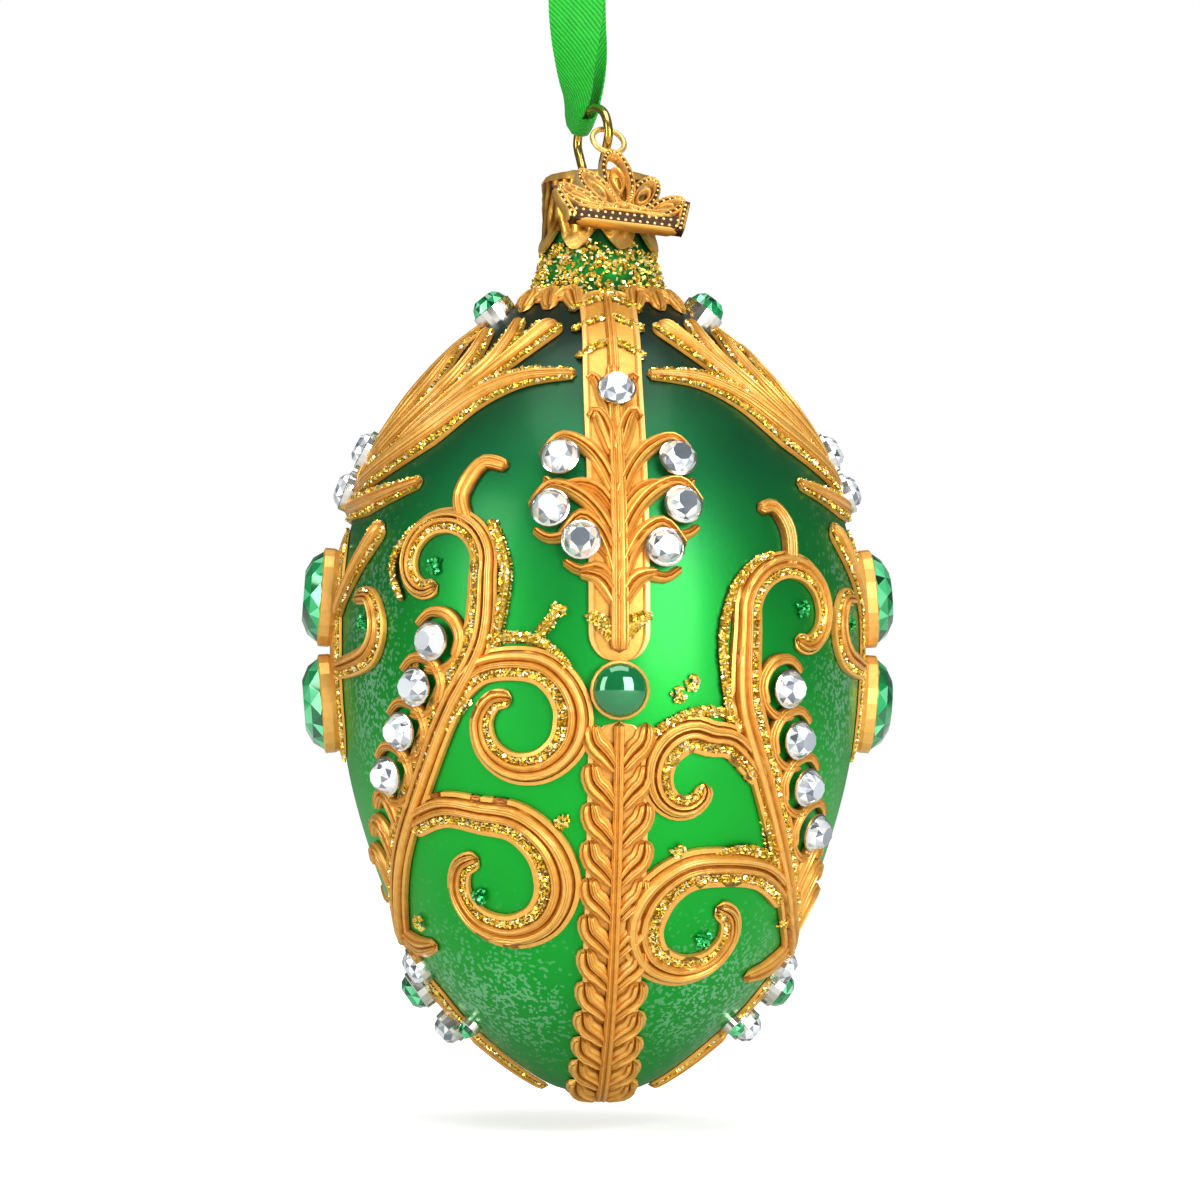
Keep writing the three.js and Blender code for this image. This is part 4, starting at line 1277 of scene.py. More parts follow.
@dataclass
class Plume:
    """The plume of leaves on one shoulder."""

    glass: Glass
    side: str
    turn: float
    leaves: tuple[tuple[Route, Widths], ...] = (
        ([(-90, 77), (-70, 79.7), (-55, 83), (-42, 87.3), (-28, 89.6), (-11, 90)], (3, 5.0, 1.4)),
        ([(-54, 85), (-38, 92), (-29, 96.3), (-24.5, 98.6)], (1.6, 2.6, 3.8)),
        ([(-66, 81.5), (-46, 90), (-42, 95), (-47, 99.5)], (2.6, 3.8, 1.6)),
        ([(-78, 80.5), (-60, 87.6), (-56, 93.4), (-64, 98)], (2.6, 3.6, 1.6)),
        ([(-90, 80), (-74, 86.4), (-72, 92), (-82, 96.4)], (2.6, 3.4, 1.6)),
        ([(-90, 74.8), (-70, 75.2), (-49.5, 77)], (2.2, 3, 1.4)),
    )

    def build(self) -> None:
        """Builds the leaves to the front and to the back of the shoulder's rib."""
        node = f"{self.side}_plume"
        relief = relief_field(self.glass, f"dressed_{node}", self.turn, [node])
        relief.stroke([(-90, 74.2), (-90, 88), (-90, 102.6)], (3.4, 3.6, 1.4), FEATHER, 1.3)
        for flipped in (False, True):
            for route, widths in self.leaves:
                relief.stroke(to_far_side(route) if flipped else route, widths, FEATHER, 1.3)
        relief.piece.finish()


@dataclass
class SideSetting:
    """The plate with two long green stones on one side, its C-scrolls, and the drop below it."""

    glass: Glass
    side: str
    turn: float
    emerald_runs: tuple[float, float] = (65.3, 54.1)
    emerald_width: float = 7.4
    emerald_length: float = 10.4
    emerald_height: float = 2.6
    emerald_lift: float = 1.25
    drop_stone_height: float = 1.7
    drop_stone_lift: float = 1.5

    def build(self) -> None:
        """Builds the plate, the drop and their stones."""
        self.plate()
        self.drop()
        for name, run in zip(("upper", "lower"), self.emerald_runs):
            node = f"{self.side}_{name}_emerald"
            piece = Piece(f"dressed_{node}", "green_glass_stone", [EMERALD, BORDER], [node])
            frame = self.glass.frame((-90, run), self.emerald_lift, self.turn)
            length = self.emerald_length * 0.95
            add_stone(piece, frame, self.emerald_width * 0.95, length, self.emerald_height, Cut.OVAL)
            rim = frame @ Matrix.Translation((0, 0, 0.5 * MM))
            add_rim(piece, rim, self.emerald_width * 0.93, length, 0.6, Cut.OVAL, 1.5)
            piece.finish(12)
        for node, slot, finish, cut, place, width, length in (
            ("green_octagon", "green_glass_stone", EMERALD, Cut.EIGHT_SIDED, (-90, 22.4), 5.2, 4.6),
            ("clear_drop", "clear_glass_stone", CRYSTAL, Cut.EIGHT_SIDED, (-90, 17.4), 3.2, 3.8),
        ):
            name = f"{self.side}_{node}"
            piece = Piece(f"dressed_{name}", slot, [finish, SILVER], [name])
            frame = self.glass.frame(place, self.drop_stone_lift, self.turn)
            add_stone(piece, frame, width * 0.9, length * 0.9, self.drop_stone_height, cut)
            rim = frame @ Matrix.Translation((0, 0, 0.4 * MM))
            add_rim(piece, rim, width * 0.9, length * 0.9, 0.4, cut, 1.4)
            piece.finish(12)

    def plate(self) -> None:
        """Builds the gilt plate behind the long stones, with its C-scrolls and clubs."""
        node = f"{self.side}_setting_plate"
        relief = relief_field(self.glass, f"dressed_{node}", self.turn, [node])
        relief.stroke([(-90, 47.6), (-90, 60), (-90, 73)], (8.3, 10.4, 7.3), FEATHER, 0.75)
        for flipped in (False, True):
            for route, widths, section in (
                ([(-82, 57.6), (-70, 57.9), (-61, 59), (-58, 61.8), (-61.5, 64.8), (-69, 64.9)],
                 (2.2, 3.0, 1.6), SCROLL),
                ([(-82, 63.4), (-73, 66.8), (-65, 70.2), (-60, 72.6)], (1.8, 2.2, 2.8), FEATHER),
            ):
                relief.stroke(to_far_side(route) if flipped else route, widths, section, mirrored=flipped)
            eye = [(-64.4, 62.3)]
            relief.dot((to_far_side(eye) if flipped else eye)[0], 0.9)
        relief.piece.finish()

    def drop(self) -> None:
        """Builds the shell and tail below the plate."""
        node = f"{self.side}_lower_drop"
        relief = relief_field(self.glass, f"dressed_{node}", self.turn, [node])
        relief.stroke([(-90, 26.4), (-90, 22.4), (-90, 15)], (4.4, 7.8, 4), FEATHER, 1.0)
        relief.stroke([(-90, 16), (-90, 10), (-90, 5.4)], (3.6, 2.8, 1.6), FEATHER)
        relief.piece.finish()


@dataclass
class NeckTrim:
    """The glitter round the neck and the rounded leaves at its foot."""

    glass: Glass
    grains: int = 2600
    low_run: float = 104.2
    high_run: float = 111.4

    def build(self) -> None:
        """Scatters the glitter in clumps and draws the leaves."""
        relief = relief_field(self.glass, "neck_trim", 0, [])
        pick = relief.piece.random
        for _ in range(self.grains):
            degrees, share = pick.uniform(0, 360), pick.random()
            angle = math.radians(degrees)
            clump = math.sin(angle * 11 + 5 * share) + math.sin(angle * 5 - 7 * share)
            if clump < -0.9 and pick.random() < 0.8:
                continue
            top = self.high_run - 1.6 * (0.5 + 0.5 * math.sin(angle * 9))
            run = self.low_run + (top - self.low_run) * share
            lift = pick.uniform(0.05, 0.3)
            centre = Vector(self.glass.places(degrees, run, lift, 0))
            relief.grain(centre, relief.grain_mm * pick.uniform(0.8, 1.4), Zone.GLITTER)
        for turn in (0.0, math.pi):
            relief.turn = turn
            for outward in (-1, 1):
                for start, end in ((17, 34), (34, 52), (54, 74)):
                    leaf = [(start, 101.4), ((start + end) / 2, 104.6), (end, 103.0)]
                    route = [(outward * degrees, run) for degrees, run in leaf]
                    relief.stroke(route, (1.4, 2.6, 1.6), LEAF, 0.9)
        relief.piece.finish()


@dataclass(frozen=True)
class LooseStone:
    """A small stone that only the dressed egg has."""

    name: str
    green: bool
    cut: Cut
    place: Place
    width: float
    length: float
    lift: float = 1.0
    height: float = 1.5


SIDE_STONES = (
    LooseStone("shoulder_stone", True, Cut.OVAL, (-90, 101.2), 3.6, 4.6, 1.2, 1.9),
    LooseStone("upper_navette", False, Cut.NAVETTE, (-90, 81.2), 2.6, 4.4, 1.35),
    LooseStone("lower_navette", False, Cut.NAVETTE, (-90, 76.6), 2.6, 4.4, 1.35),
    LooseStone("front_navette", False, Cut.NAVETTE, (-76, 24.8), 2.2, 3.8, 0.7),
    LooseStone("back_navette", False, Cut.NAVETTE, (-104, 24.8), 2.2, 3.8, 0.7),
    LooseStone("front_drop", True, Cut.EIGHT_SIDED, (-72, 16.8), 2.2, 2.2, 0.5),
    LooseStone("back_drop", True, Cut.EIGHT_SIDED, (-108, 16.8), 2.2, 2.2, 0.5),
)


@dataclass
class SideStones:
    """The small stones above and below one side's plate."""

    glass: Glass
    side: str
    turn: float

    def build(self) -> None:
        """Builds each stone in its silvered cup."""
        for stone in SIDE_STONES:
            finish, slot = (EMERALD, "green_glass_stone") if stone.green else (CRYSTAL, "clear_glass_stone")
            piece = Piece(f"{self.side}_{stone.name}", slot, [finish, SILVER], [])
            frame = self.glass.frame(stone.place, stone.lift, self.turn)
            width, length = stone.width * 0.9, stone.length * 0.9
            add_stone(piece, frame, width, length, stone.height, stone.cut)
            rim = frame @ Matrix.Translation((0, 0, 0.4 * MM))
            add_rim(piece, rim, width, length, 0.36, stone.cut, stone.lift + 0.6)
            piece.finish(12)


@dataclass
class Head:
    """Sizes that the cap, the hanger, the charm and the ribbon share, in the head's own frame."""

    glass: Glass
    head_turn: float = -4.3
    cap_metal: float = 0.45
    cap_clearance: float = 0.35
    cap_dome: float = 0.6
    cap_skirt: float = 5.3
    cap_teeth: int = 8
    tooth_length: float = 2.2
    wire: float = 1.0
    loop_width: float = 8.6
    loop_height: float = 7.2
    loop_arch: float = 3.2
    leg_spread: float = 5.2
    leg_depth: float = 7.6
    loop_yaw: float = -66.8
    loop_shift: float = -0.6

    def __post_init__(self) -> None:
        """Works out the cap's and the loop's heights, and the head's place."""
        rim = self.glass.height + self.glass.neck_height
        self.cap_top = rim + self.cap_clearance + self.cap_dome + self.cap_metal
        self.cap_hem = rim - self.cap_skirt
        self.cap_inside = self.glass.neck_radius + self.cap_clearance
        self.cap_outside = self.cap_inside + self.cap_metal
        self.loop_top = self.cap_top + self.loop_height
        self.loop_middle = self.loop_top - self.loop_arch
        self.loop_slant = self.loop_width / 2 * math.sqrt(0.5)
        self.arch_slant = self.loop_arch * math.sqrt(0.5)
        place = Matrix.Translation(Vector(self.glass.origin) * MM)
        self.matrix = place @ Matrix.Rotation(math.radians(self.head_turn), 4, "Z") @ Matrix.Scale(MM, 4)

    def loop_point(self, along: float, height: float) -> Vector:
        """A point in the plane of the wire's loop."""
        yaw = math.radians(self.loop_yaw)
        return Vector((self.loop_shift + along * math.cos(yaw), along * math.sin(yaw), height))


def sweep(piece: Piece, matrix: Matrix, points: np.ndarray, radius: float, around: int) -> None:
    """Sweeps a round wire along points.

    Args:
        piece: What it is added to.
        matrix: From the points' frame to the row frame.
        points: One row for each step.
        radius: The wire's.
        around: Points round it.
    """
    along = len(points) - 1
    verts, steps, columns = piece.tube(around, along)
    ahead = unit_rows(np.gradient(points, axis=0))
    side = unit_rows(np.cross(ahead, [0.13, 0.31, 0.94]))
    up = np.cross(side, ahead)
    for v, step, column in zip(verts, steps, columns):
        angle = 2 * math.pi * column / around
        reach = 0 if step in (0, along) else radius
        v.co = Vector(points[step] + reach * (side[step] * math.cos(angle) + up[step] * math.sin(angle)))
        # Painted highlight and shade: each ring is lighter on the side towards (0.13, 0.31, 0.94) and darker
        # on the other
        v[piece.depth] = 0.55 + 0.2 * math.sin(angle)
    piece.move(verts, matrix)
    piece.paint(verts)


@dataclass
class Cap:
    """The pressed cap: a thin shell over the neck with an embossed skirt and a toothed hem."""

    head: Head
    around: int = 160
    flare: float = 0.65

    def build(self) -> None:
        """Shapes a closed tube into the inside, the hem and the outside of the cap."""
        head = self.head
        piece = Piece("dressed_ornament_cap", "gilt_cap", [CAP_GOLD], ["ornament_cap"])
        under = head.cap_top - head.cap_metal
        inner = [(0, under), (head.cap_inside * 0.7, under), (head.cap_inside - 0.1, under - head.cap_dome),
                 (head.cap_inside, under - head.cap_dome - 0.6)]
        outer = [(head.cap_outside, head.cap_top - head.cap_dome - 0.6),
                 (head.cap_outside - 0.5, head.cap_top - head.cap_dome * 0.7),
                 (head.cap_outside * 0.7, head.cap_top - 0.05), (head.cap_outside * 0.3, head.cap_top),
                 (0, head.cap_top)]
        skirt = 22
        along = len(inner) + 2 * skirt + len(outer) - 1
        verts, steps, columns = piece.tube(self.around, along)
        for v, step, column in zip(verts, steps, columns):
            angle = 2 * math.pi * column / self.around
            v.co, v[piece.depth] = self.point(int(step), angle, inner, outer, skirt)
        piece.move(verts, head.matrix)
        piece.finish(60)

    def point(self, step: int, angle: float, inner: list[Place], outer: list[Place],
              skirt: int) -> tuple[Vector, float]:
        """One point of the cap.

        Args:
            step: Along the section, from the middle of the inside to the middle of the top.
            angle: Round the cap, in radians.
            inner: The inside's radii and heights above the skirt.
            outer: The outside's, from the skirt up.
            skirt: Steps down each side of the skirt.

        Returns:
            The point in the head's frame, and its brightness: painted shade, dark inside the cap and in the
            pressed-in wrinkles.
        """
        head = self.head
        tooth = abs((angle * head.cap_teeth / (2 * math.pi)) % 1 - 0.5) * 2
        hem = head.cap_hem - head.tooth_length * (1 - min(max((tooth - 0.12) / 0.76, 0), 1) ** 1.3)
        if step < len(inner):
            radius, height = inner[step]
            return Vector((radius * math.cos(angle), radius * math.sin(angle), height)), 0.2
        if step >= len(inner) + 2 * skirt:
            radius, height = outer[step - len(inner) - 2 * skirt]
            press = 0.06 * math.sin(angle * 16) * (radius / head.cap_outside) ** 2
            return Vector((radius * math.cos(angle), radius * math.sin(angle), height + press)), 0.6
        down = step - len(inner)
        outside = down >= skirt
        share = (2 * skirt - 1 - down if outside else down) / (skirt - 1)
        top = (outer if outside else inner)[0 if outside else -1]
        height = top[1] + (hem - top[1]) * share
        below = max(0.0, (head.cap_hem - height) / head.tooth_length)
        radius = top[0] + self.flare * below
        ripple = self.ripple(angle, share) if outside else 0.0
        ripple *= 1 - min(1.0, below * 2)
        radius += ripple
        # Where a wrinkle is pressed in, the point is darker: painted shade
        return Vector((radius * math.cos(angle), radius * math.sin(angle), height)), 0.72 + 3.0 * ripple

    def ripple(self, angle: float, share: float) -> float:
        """How far the pressed wrinkles stand out or in, in millimetres."""
        upright = math.sin(angle * 24 + 2.4 * math.sin(share * 5 + angle * 3))
        leafy = math.sin(angle * 9 + share * 7) * math.sin(share * 11 + angle * 5)
        return -0.16 + 0.1 * upright + 0.07 * leafy


@dataclass
class Hanger:
    """The sprung wire: two legs in the neck and a loop above the cap."""

    head: Head

    def build(self) -> None:
        """Sweeps the wire."""
        head = self.head
        leg, half = head.leg_spread / 2, head.loop_width / 2
        side = [
            (leg, head.cap_top - head.leg_depth), (leg, head.cap_top - head.leg_depth / 2),
            (leg, head.cap_top + 0.2), ((leg + half) / 2, (head.cap_top + head.loop_middle) / 2),
            (half, head.loop_middle), (head.loop_slant, head.loop_middle + head.arch_slant),
        ]
        route = [head.loop_point(-along, height) for along, height in side]
        route += [head.loop_point(0, head.loop_top)]
        route += [head.loop_point(along, height) for along, height in reversed(side)]
        piece = Piece("dressed_hanger_wire", "brass_wire", [WIRE_BRASS], ["hanger_wire"])
        sweep(piece, head.matrix, spline(np.array(route), 110), head.wire / 2 * 0.97, 16)
        piece.finish(60)


@dataclass
class CrownCharm:
    """The pierced crown: a beaded bar, two flared posts and a fan of rimmed loops."""

    head: Head
    width: float = 12.6
    height: float = 13.2
    metal: float = 1.4
    yaw: float = 22.0
    lean: float = 37.5
    roll: float = 5.0
    drop: float = 1.3
    rim: float = 0.72
    eye_width: float = 4.2
    eye_rim: float = 0.6
    eye_sag: float = 0.45

    def pose(self) -> Matrix:
        """Hangs the charm on the wire by its eye.

        Returns:
            From the charm's own frame, U across, V up and W out of its face, to the row frame.
        """
        head = self.head
        eye = head.loop_point(head.loop_width / 2 + 0.1, head.loop_middle - self.drop)
        return (head.matrix @ Matrix.Translation(eye) @ Matrix.Rotation(math.radians(self.yaw), 4, "Z")
                @ Matrix.Rotation(math.radians(90 - self.lean), 4, "X")
                @ Matrix.Rotation(math.radians(-self.roll), 4, "Z")
                @ Matrix.Translation((0, self.eye_sag - self.height, 0)))

    def ring(self, piece: Piece, pose: Matrix, size: Place, inset: float, wide: float, deep: float,
             tone: float) -> None:
        """Adds one pointed ring.

        Args:
            piece: What it is added to.
            pose: The loop's own.
            size: The loop's width and length.
            inset: From the loop's edge to the middle of the ring.
            wide: The ring's width.
            deep: Its depth.
            tone: How bright it is.
        """
        verts = piece.hoop(2, wide, 40, 8)
        for v in verts:
            angle = math.atan2(v.co.y, v.co.x)
            pinch = 1 - 0.28 * max(0, -math.sin(angle)) ** 2
            out = math.hypot(v.co.x, v.co.y) - 2
            v.co = Vector((math.cos(angle) * (pinch * (size[0] / 2 - inset) + out),
                           math.sin(angle) * (size[1] / 2 - inset + out), v.co.z * deep / wide))
            v[piece.depth] = tone
        piece.move(verts, pose)
        piece.paint(verts)

    def rimmed_loop(self, piece: Piece, pose: Matrix, centre: Place, size: Place, lean: float) -> None:
        """Adds one pointed loop: two bright rails, a dark channel with beads, and a small heart inside.

        Args:
            piece: What it is added to.
            pose: The charm's.
            centre: The loop's centre.
            size: Its width and length.
            lean: How far it leans, in degrees.
        """
        turned = pose @ Matrix.Translation((*centre, 0)) @ Matrix.Rotation(math.radians(lean), 4, "Z")
        self.ring(piece, turned, size, self.rim / 2, self.rim * 0.9, 0.9, 0.05)
        self.ring(piece, turned, size, 0.1, 0.24, self.metal, 0.85)
        self.ring(piece, turned, size, self.rim - 0.08, 0.22, self.metal, 0.85)
        self.ring(piece, turned, (size[0] * 0.36, size[1] * 0.4), 0.0, 0.3, self.metal * 0.7, 0.8)
        beads = round(size[1] * 3)
        for i in range(beads):
            angle = 2 * math.pi * i / beads
            pinch = 1 - 0.28 * max(0, -math.sin(angle)) ** 2
            at = (math.cos(angle) * pinch * (size[0] - self.rim) / 2,
                  math.sin(angle) * (size[1] - self.rim) / 2, self.metal * 0.32)
            self.bead(piece, turned @ Matrix.Translation(at), 0.17)

    def bead(self, piece: Piece, matrix: Matrix, radius: float) -> None:
        """Adds one small bright bead.

        Args:
            piece: What it is added to.
            matrix: Where it lies.
            radius: Its radius, in millimetres.
        """
        verts = bmesh.ops.create_icosphere(piece.bm, subdivisions=1, radius=radius, matrix=matrix)["verts"]
        for v in verts:
            v[piece.depth] = 0.95
        piece.paint(verts)

    def channel(self, piece: Piece, pose: Matrix, start: Place, end: Place, width: float,
                rows: int) -> None:
        """Adds a straight beaded channel: a dark floor, a bright rail on either side, and beads.

        Args:
            piece: What it is added to.
            pose: The charm's.
            start: The middle of its one end.
            end: The middle of its other end.
            width: Its width, rails and all.
            rows: How many rows of beads it holds.
        """
        along = Vector(end) - Vector(start)
        turned = (pose @ Matrix.Translation((*start, 0))
                  @ Matrix.Rotation(math.atan2(along.y, along.x), 4, "Z"))
        shape = (turned @ Matrix.Translation((along.length / 2, 0, 0))
                 @ Matrix.Diagonal((along.length, width * 0.96, self.metal * 0.62, 1)))
        floor = bmesh.ops.create_cube(piece.bm, size=1, matrix=shape)["verts"]
        for v in floor:
            v[piece.depth] = 0.02
        piece.paint(floor)
        for side in (-1, 1):
            line = np.array([(along.length * i / 8, side * (width / 2 - 0.12), 0) for i in range(9)])
            sweep(piece, turned @ Matrix.Diagonal((1, 1, self.metal / 0.36, 1)), line, 0.18, 10)
        count = round(along.length / 0.82)
        for row in range(rows):
            across = ((row + 0.5) / rows - 0.5) * (width - 0.5)
            for i in range(count):
                at = (along.length * (i + 0.5 + 0.4 * (row % 2)) / (count + 0.4), across, self.metal * 0.32)
                self.bead(piece, turned @ Matrix.Translation(at), 0.2)

    def build(self) -> None:
        """Builds the whole charm."""
        piece = Piece("dressed_crown_charm", "antique_gold_charm", [CHARM_GOLD], ["crown_charm"])
        pose = self.pose()
        half, bar = self.width / 2, self.height * 0.17
        self.channel(piece, pose, (-half, bar / 2), (half, bar / 2), bar, 2)
        for side in (-1, 1):
            foot = (side * (half - 0.45), 0.1)
            top = (side * (half + self.width * 0.12 - 0.4), self.height * 0.36)
            self.channel(piece, pose, foot, top, 0.9, 1)
            arch = spline(np.array([(side * half * 0.98, bar + 1.3, 0), (side * half * 0.5, bar + 0.3, 0),
                                    (0, bar + 1.0, 0)]), 12)
            sweep(piece, pose @ Matrix.Diagonal((1, 1, self.metal / 0.4, 1)), arch, 0.2, 8)
            self.rimmed_loop(piece, pose, (side * self.width * 0.205, self.height * 0.37),
                             (self.width * 0.24, self.height * 0.5), -side * 32)
            self.rimmed_loop(piece, pose, (side * self.width * 0.38, self.height * 0.26),
                             (self.width * 0.19, self.height * 0.43), -side * 57)
        centre = self.height * 0.53
        eye_foot = self.height - self.eye_width / 2 + self.eye_rim / 2
        self.rimmed_loop(piece, pose, (0, centre), (self.width * 0.3, 2 * (eye_foot - centre)), 0)
        eye = piece.hoop(self.eye_width / 2 - self.eye_rim / 2, self.eye_rim, 28, 10)
        for v in eye:
            v[piece.depth] = 0.8
        piece.move(eye, pose @ Matrix.Translation((0, self.height, 0)))
        piece.paint(eye)
        piece.finish(50)


@dataclass
class Ribbon:
    """The satin ribbon, doubled through the wire's loop, its two ends lapped at the top."""

    head: Head
    width: float = 6.0
    metal_gap: float = 0.3
    thickness: float = 0.3
    gathered: float = 2.4
    bend: float = 2.8
    lap: float = 0.55
    loop_top: float = 136.0
    shift: float = -2.4

    def stations(self) -> list[tuple[Vector, float, float]]:
        """Lays out the ribbon's route.

        Returns:
            Its points in the head's frame, each with the ribbon's width and how far it faces the front.
        """
        head = self.head
        clear = head.wire / 2 + self.metal_gap + self.thickness
        bight = head.loop_point(-head.loop_slant, head.loop_middle + head.arch_slant)
        along = head.loop_point(1, 0) - head.loop_point(0, 0)
        back = Vector((-along.y, along.x, 0))
        inward = Vector((along.x * 0.6, along.y * 0.6, -0.8))
        middle = self.loop_top + self.thickness / 2 - self.bend
        top = head.loop_top
        route = [
            (Vector((self.shift, self.bend, middle - 2)), self.width, 1.0),
            (Vector((self.shift + 0.1, self.bend, middle - 6)), self.width, 1.0),
            (Vector((self.shift + 0.2, self.bend, top + 11.5)), self.width, 1.0),
            (Vector((-1.5, self.bend + 0.2, top + 7)), 5.0, 0.75),
            (Vector((-0.9, self.bend + 0.2, top + 3)), 4.0, 0.3),
        ]
        for angle in (90, 45, 0, -45, -90):
            turn = math.radians(angle)
            route.append((bight + back * clear * math.sin(turn) + inward * clear * math.cos(turn),
                          self.gathered, 0.0))
        route += [
            (Vector((-2.4, 0.6, top + 1.4)), 3.4, 0.15),
            (Vector((-2.5, -1.2, top + 4.4)), 4.4, 0.5),
            (Vector((self.shift - 0.1, -2.4, top + 8)), 5.4, 0.85),
            (Vector((self.shift, -self.bend, top + 12)), self.width, 1.0),
        ]
        for angle in (180, 150, 120, 90, 60, 30, 0):
            turn = math.radians(angle)
            reach = self.bend + (self.lap * (1 - angle / 90) if angle < 90 else 0)
            route.append((Vector((self.shift, reach * math.cos(turn), middle + self.bend * math.sin(turn))),
                          self.width, 1.0))
        route.append((Vector((self.shift, self.bend + self.lap, middle - 5)), self.width, 1.0))
        return route

    def build(self) -> None:
        head = self.head
        fine = spline(np.array([(*point, width, face) for point, width, face in self.stations()]), 400)
        run = np.concatenate([[0], np.cumsum(np.linalg.norm(np.diff(fine[:, :3], axis=0), axis=1))])
        along = 190
        spots = np.linspace(0, run[-1], along + 1)
        even = np.stack([np.interp(spots, run, values) for values in fine.T], -1)
        yaw = math.radians(head.loop_yaw)
        wire_way = np.array([math.cos(yaw) * 0.8, math.sin(yaw) * 0.8, 0.6])
        ahead = unit_rows(np.gradient(even[:, :3], axis=0))
        face = even[:, 4:5]
        side = wire_way * (1 - face) + np.array([1, 0, 0]) * face
        side = unit_rows(side - ahead * np.sum(side * ahead, axis=1)[:, None])
        out = np.cross(side, ahead)
        piece = Piece("dressed_ribbon", "green_satin_ribbon", [Satin()], ["ribbon"])
        around = 20
        verts, steps, columns = piece.tube(around, along)
        across = self.across(around)
        for v, step, column in zip(verts, steps, columns):
            a, b = (0, 0) if step in (0, along) else across[column]
            cup = 0.12 * (1 - a * a) * (1 - face[step, 0] * 0.8)
            place = even[step, :3] + side[step] * a * even[step, 3] / 2 + out[step] * (b * 0.13 + cup)
            v.co = Vector(place)
        where = {v: (s, c) for v, s, c in zip(verts, steps, columns)}
        for face_made in piece.bm.faces:
            for loop in face_made.loops:
                step, column = where[loop.vert]
                loop[piece.uv].uv = (run[-1] * step / along, across[column][0] * self.width / 2)
        piece.move(verts, head.matrix)
        made = piece.finish(50)

    def across(self, around: int) -> list[Place]:
        """Places round the strip's section.

        Args:
            around: How many places.

        Returns:
            How far across the strip and through it each is, from -1 to 1.
        """
        half = around // 2
        front = [(-1 + 2 * i / (half - 1), 1.0) for i in range(half)]
        rear = [(1 - 2 * i / (half - 1), -1.0) for i in range(half)]
        return front + rear


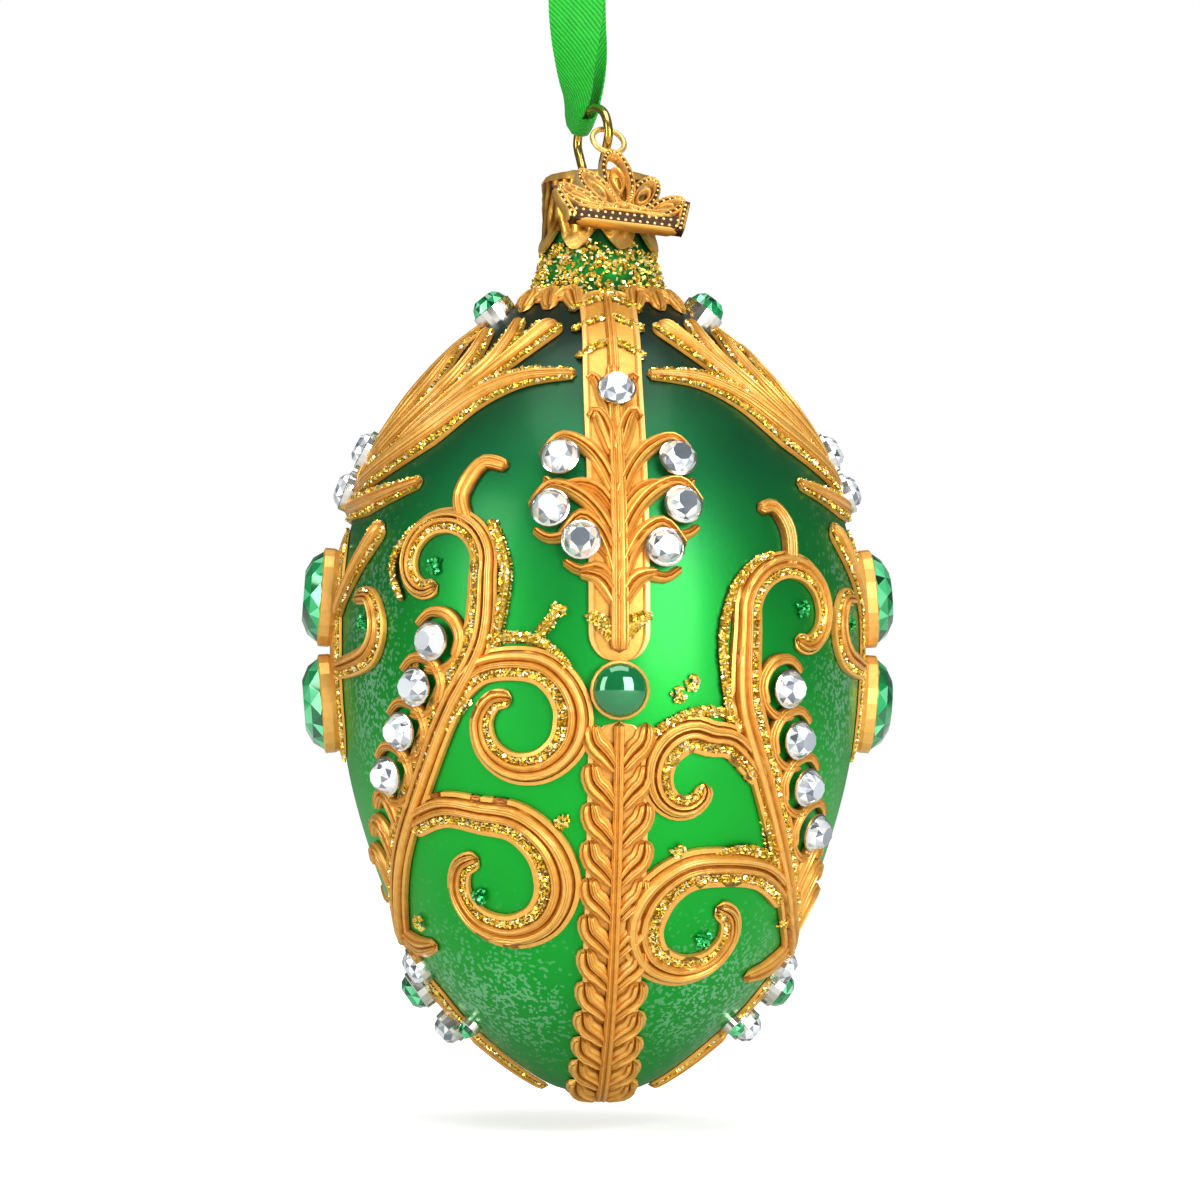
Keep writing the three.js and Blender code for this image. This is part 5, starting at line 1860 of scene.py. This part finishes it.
@dataclass
class Studio:
    """Floor, soft lights and camera."""

    glass: Glass
    distance: float = 450.0
    azimuth: float = 4.3
    elevation: float = -2.5
    aim_height: float = 53.18
    lens: float = 125.0
    shift_px: float = 1.6
    floor_gap: float = 4.0

    def camera(self) -> None:
        """Sets the camera at the photograph's viewing angle."""
        aim = Vector(self.glass.origin) + Vector((0, 0, self.aim_height))
        azimuth, rise = math.radians(self.azimuth), math.radians(self.elevation)
        level = math.cos(rise)
        back = Vector((-math.sin(azimuth) * level, -math.cos(azimuth) * level, math.sin(rise)))
        data = bpy.data.cameras.new("camera")
        data.lens = self.lens
        data.sensor_width = 36
        data.shift_x = self.shift_px / IMAGE_SIZE
        data.clip_start = 0.01
        data.dof.use_dof = False
        made = add_object("camera", data)
        made.location = (aim + back * self.distance) * MM
        made.rotation_euler = (-back).to_track_quat("-Z", "Y").to_euler()
        bpy.context.scene.camera = made

    def light(self, name: str, place: tuple[float, float, float], size: Place, watts: float) -> None:
        """Adds one softbox that faces the egg.

        Args:
            name: The light's name.
            place: Where it stands from the egg's middle, in metres.
            size: Its width and height, in metres.
            watts: Its power.
        """
        data = bpy.data.lights.new(name, "AREA")
        data.shape = "RECTANGLE"
        data.size, data.size_y = size
        data.energy = watts
        made = add_object(name, data)
        middle = (Vector(self.glass.origin) + Vector((0, 0, 45))) * MM
        made.location = middle + Vector(place)
        made.rotation_euler = Vector(place).to_track_quat("Z", "Y").to_euler()

    def world(self) -> None:
        """Gives the room a pale backdrop."""
        world = bpy.data.worlds.new("studio")
        world.use_nodes = True
        bpy.context.scene.world = world
        tree = world.node_tree
        tree.nodes.clear()
        path = add_node(tree, "ShaderNodeLightPath")
        room = add_node(tree, "ShaderNodeBackground", {}, {"Color": (0.5, 0.52, 0.5, 1), "Strength": 0.3})
        backdrop = add_node(tree, "ShaderNodeBackground", {}, {"Color": (1, 1, 1, 1), "Strength": 1.0})
        shown = add_node(tree, "ShaderNodeMixShader", {}, {
            0: path.outputs["Is Camera Ray"], 1: room.outputs[0], 2: backdrop.outputs[0],
        })
        add_node(tree, "ShaderNodeOutputWorld", {}, {"Surface": shown.outputs[0]})
        bpy.context.scene.view_settings.view_transform = "Standard"

    def floor(self) -> None:
        """Lays a pale floor just below the egg's tip, whose glow is weaker near the egg: a painted shadow."""
        bm = bmesh.new()
        bmesh.ops.create_grid(bm, x_segments=8, y_segments=8, size=3)
        mesh = bpy.data.meshes.new("floor")
        below = Matrix.Translation((0, 0, (self.glass.origin[2] - self.floor_gap) * MM))
        bmesh.ops.transform(bm, matrix=below, verts=bm.verts)
        bm.to_mesh(mesh)
        bm.free()
        floor = add_object("floor", mesh)
        finish, tree = start_material("backlit_white_card")
        path = add_node(tree, "ShaderNodeLightPath")
        card = add_node(tree, "ShaderNodeBsdfDiffuse", {}, {"Color": linear("#e8e8e8")})
        coordinates = add_node(tree, "ShaderNodeTexCoord")
        away = add_node(tree, "ShaderNodeVectorMath", {"operation": "LENGTH"}, {
            0: coordinates.outputs["Object"],
        })
        # Weaker glow near the egg: a painted shadow under it
        strength = add_node(tree, "ShaderNodeMapRange", {}, {
            "Value": away.outputs["Value"], "From Min": 0.06, "From Max": 0.5, "To Min": 0.5, "To Max": 0.95,
        })
        glow = add_node(tree, "ShaderNodeEmission", {}, {
            "Color": (1, 1, 1, 1), "Strength": strength.outputs[0],
        })
        lit = add_node(tree, "ShaderNodeAddShader", {}, {0: card.outputs[0], 1: glow.outputs[0]})
        shown = add_node(tree, "ShaderNodeMixShader", {}, {
            0: path.outputs["Is Camera Ray"], 1: card.outputs[0], 2: lit.outputs[0],
        })
        add_node(tree, "ShaderNodeOutputMaterial", {}, {"Surface": shown.outputs[0]})
        mesh.materials.append(finish)

    def build(self) -> None:
        """Sets up the lights, the floor and the room."""
        self.world()
        self.floor()
        self.light("key", (0.3, -0.62, 0.16), (0.34, 0.5), 6.2)
        self.light("fill", (-0.62, -0.42, 0.2), (0.3, 0.6), 3.6)
        self.light("top", (0.0, -0.15, 0.75), (0.7, 0.5), 4.2)
        log.info("studio: set")


def main() -> None:
    """Builds the dressed egg from the cord and the camera to the last stone."""
    logging.basicConfig(level=logging.INFO, format="%(message)s")
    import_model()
    glass = Glass()
    studio = Studio(glass)
    studio.camera()
    head = Head(glass)
    Ribbon(head).build()
    GlassEgg(glass).build()
    patterns = {"left": left_pattern(glass), "right": right_pattern(glass)}
    for face, turn in FACES:
        band = Band(glass, face, turn)
        band.spray()
        band.garland()
        band.gems()
        for side, pattern in patterns.items():
            Scrollwork(glass, face, side, turn, pattern).build()
    for side, turn in SIDES:
        Plume(glass, side, turn).build()
        SideSetting(glass, side, turn).build()
        SideStones(glass, side, turn).build()
    NeckTrim(glass).build()
    Cap(head).build()
    Hanger(head).build()
    CrownCharm(head).build()
    studio.build()


if __name__ == "__main__":
    main()
